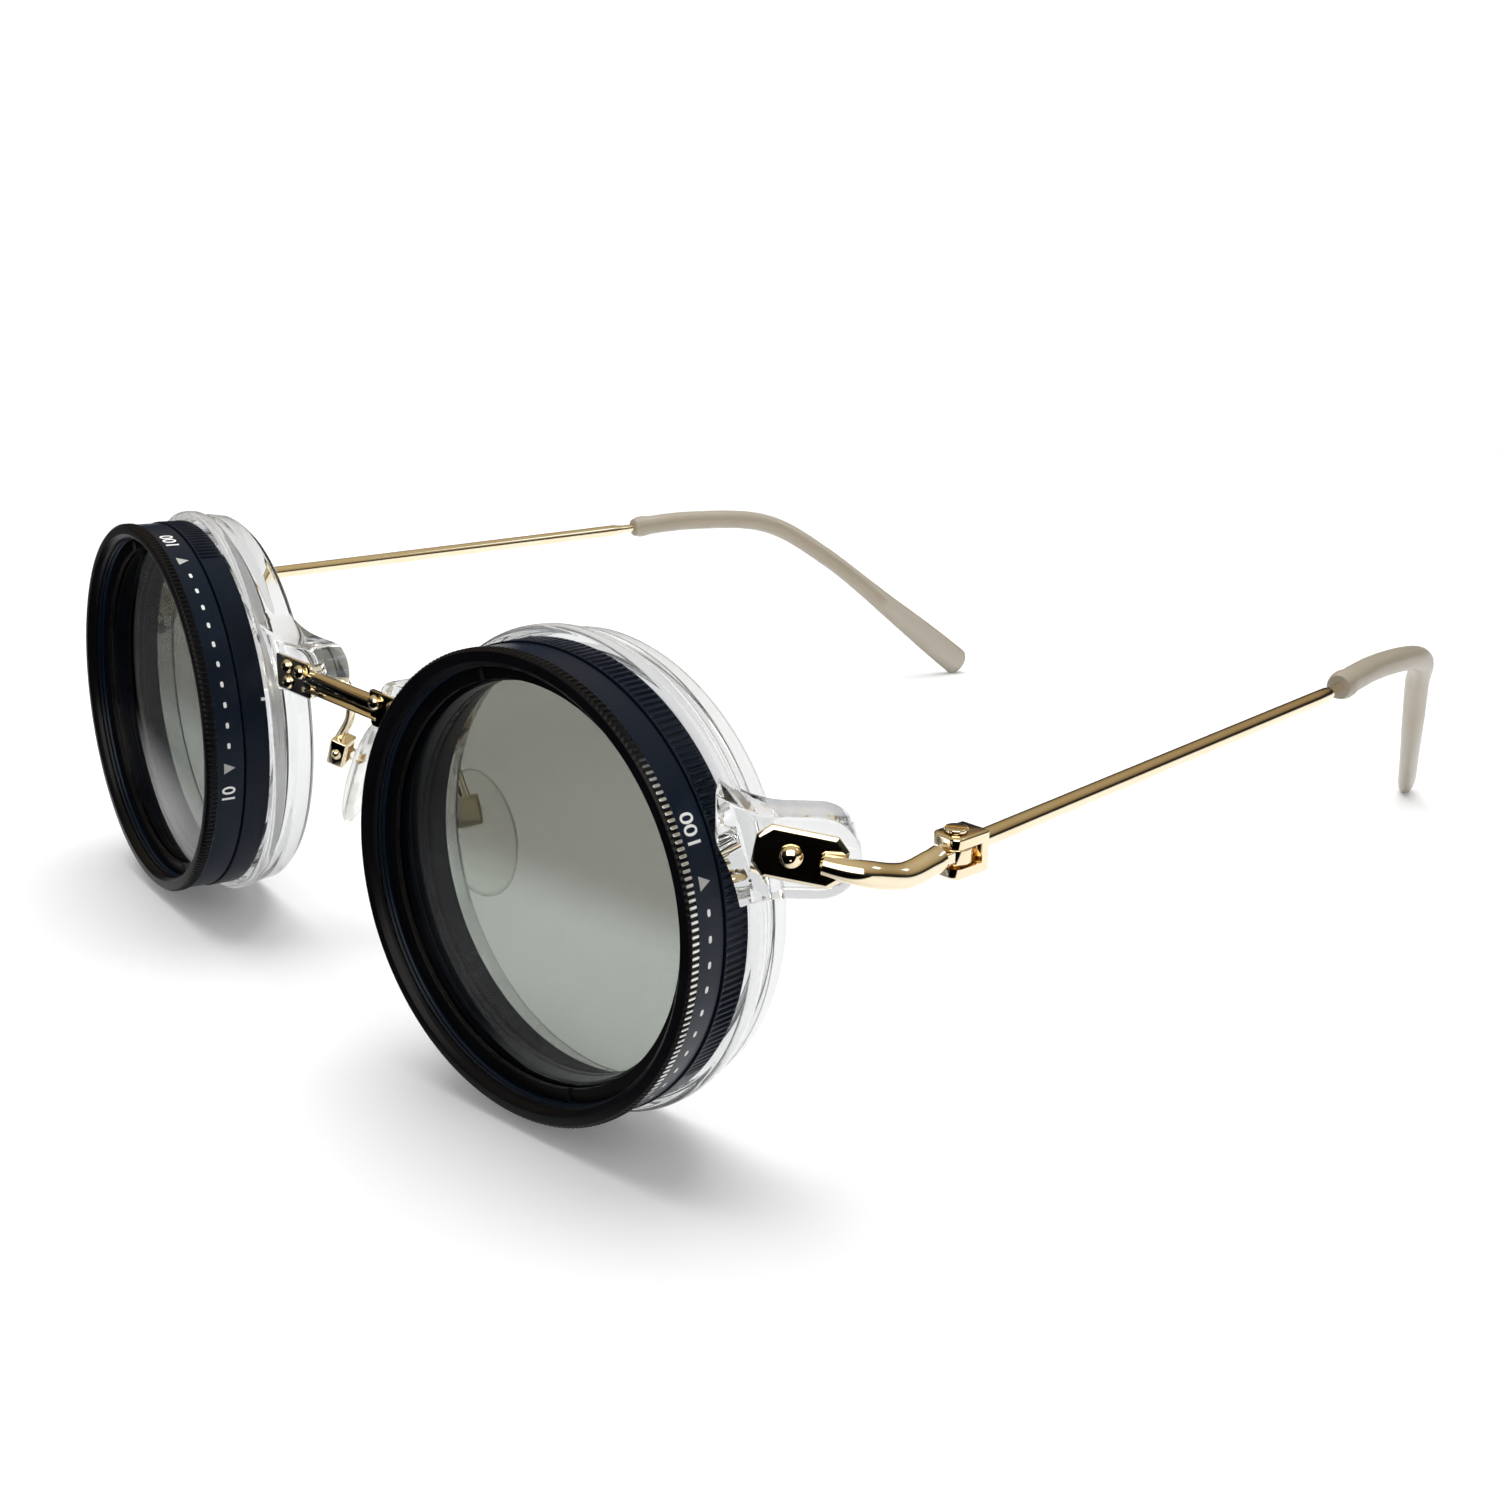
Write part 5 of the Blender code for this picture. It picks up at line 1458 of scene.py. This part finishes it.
def add_world():
    """White to the eye. Reflections see dark walls and a warm ceiling."""
    world = bpy.data.worlds.new("studio")
    scene.world = world
    world.use_nodes = True
    rays = add_node(world, "ShaderNodeLightPath").outputs
    y, z = axes_of(world, add_node(world, "ShaderNodeTexCoord").outputs["Generated"])[1:]
    behind = ramp_value(world, y, *front_edge)
    reflected = mixed(world, behind, front_dark, color_ramp(world, z, studio_heights))
    refracted = mixed(world, behind, front_clear, (through_light,) * 3)
    color = mixed(world, rays["Is Glossy Ray"], (1.0, 1.0, 1.0), reflected)
    color = mixed(world, rays["Is Transmission Ray"], color, refracted)
    color = mixed(world, rays["Is Diffuse Ray"], color, (room_light,) * 3)
    link(world, color, world.node_tree.nodes["Background"].inputs["Color"])


def add_lamp():
    """A soft lamp overhead that faces the floor under the front."""
    lamp = bpy.data.lights.new("overhead", "AREA")
    lamp.shape = "RECTANGLE"
    lamp.size, lamp.size_y = lamp_size
    lamp.energy = lamp_power
    where = Vector((lamp_shift, front_at.y + lamp_back, lamp_height))
    target = Vector((0.0, front_at.y, 0.0))
    turn = (target - where).to_track_quat("-Z", "Y").to_matrix().to_4x4()
    holder = in_scene("overhead", lamp, Matrix.Translation(where) @ turn)
    hide_from(holder, "camera", "glossy", "transmission")


def add_card(name, direction, size, light):
    """A bright studio card that neither the eye nor the floor sees."""
    strength = max(light)
    color = tuple(channel / strength for channel in light)
    material = new_material(name, (0.0, 0.0, 0.0), 1.0, Specular_IOR_Level=0.0)
    shader_of(material).inputs["Emission Color"].default_value = (*color, 1.0)
    shader_of(material).inputs["Emission Strength"].default_value = strength
    card = flat_stage(name, 0.5, material)
    where = front_at + Vector(direction).normalized() * card_distance
    turn = (front_at - where).to_track_quat("Z", "Y").to_matrix().to_4x4()
    card.matrix_world = Matrix.Translation(where) @ turn @ Matrix.Diagonal((*size, 1.0, 1.0))
    hide_from(card, "camera", "diffuse", "shadow")
    return card


for eye_side in side_sign:
    filters(eye_side)
clear_rim()
end_piece()
temple()
bridge()
pad_arm()
nose_pad()
for eye_side in side_sign:
    for hidden_node in ("snap_ring_", "stop_pin_"):
        frame["nodes"][hidden_node + eye_side].material_slots[0].material = steel

add_camera()
add_floor()
add_world()
add_lamp()
hide_from(add_card("cool_bank", bank_direction, bank_size, bank_light), "transmission")
add_card("front_box", box_direction, box_size, box_light)
scene.view_settings.view_transform = "Standard"
# Light that is reflected many times inside the clear rims still finds its way out
scene.cycles.max_bounces = light_bounces
scene.cycles.glossy_bounces = light_bounces
scene.cycles.transmission_bounces = light_bounces
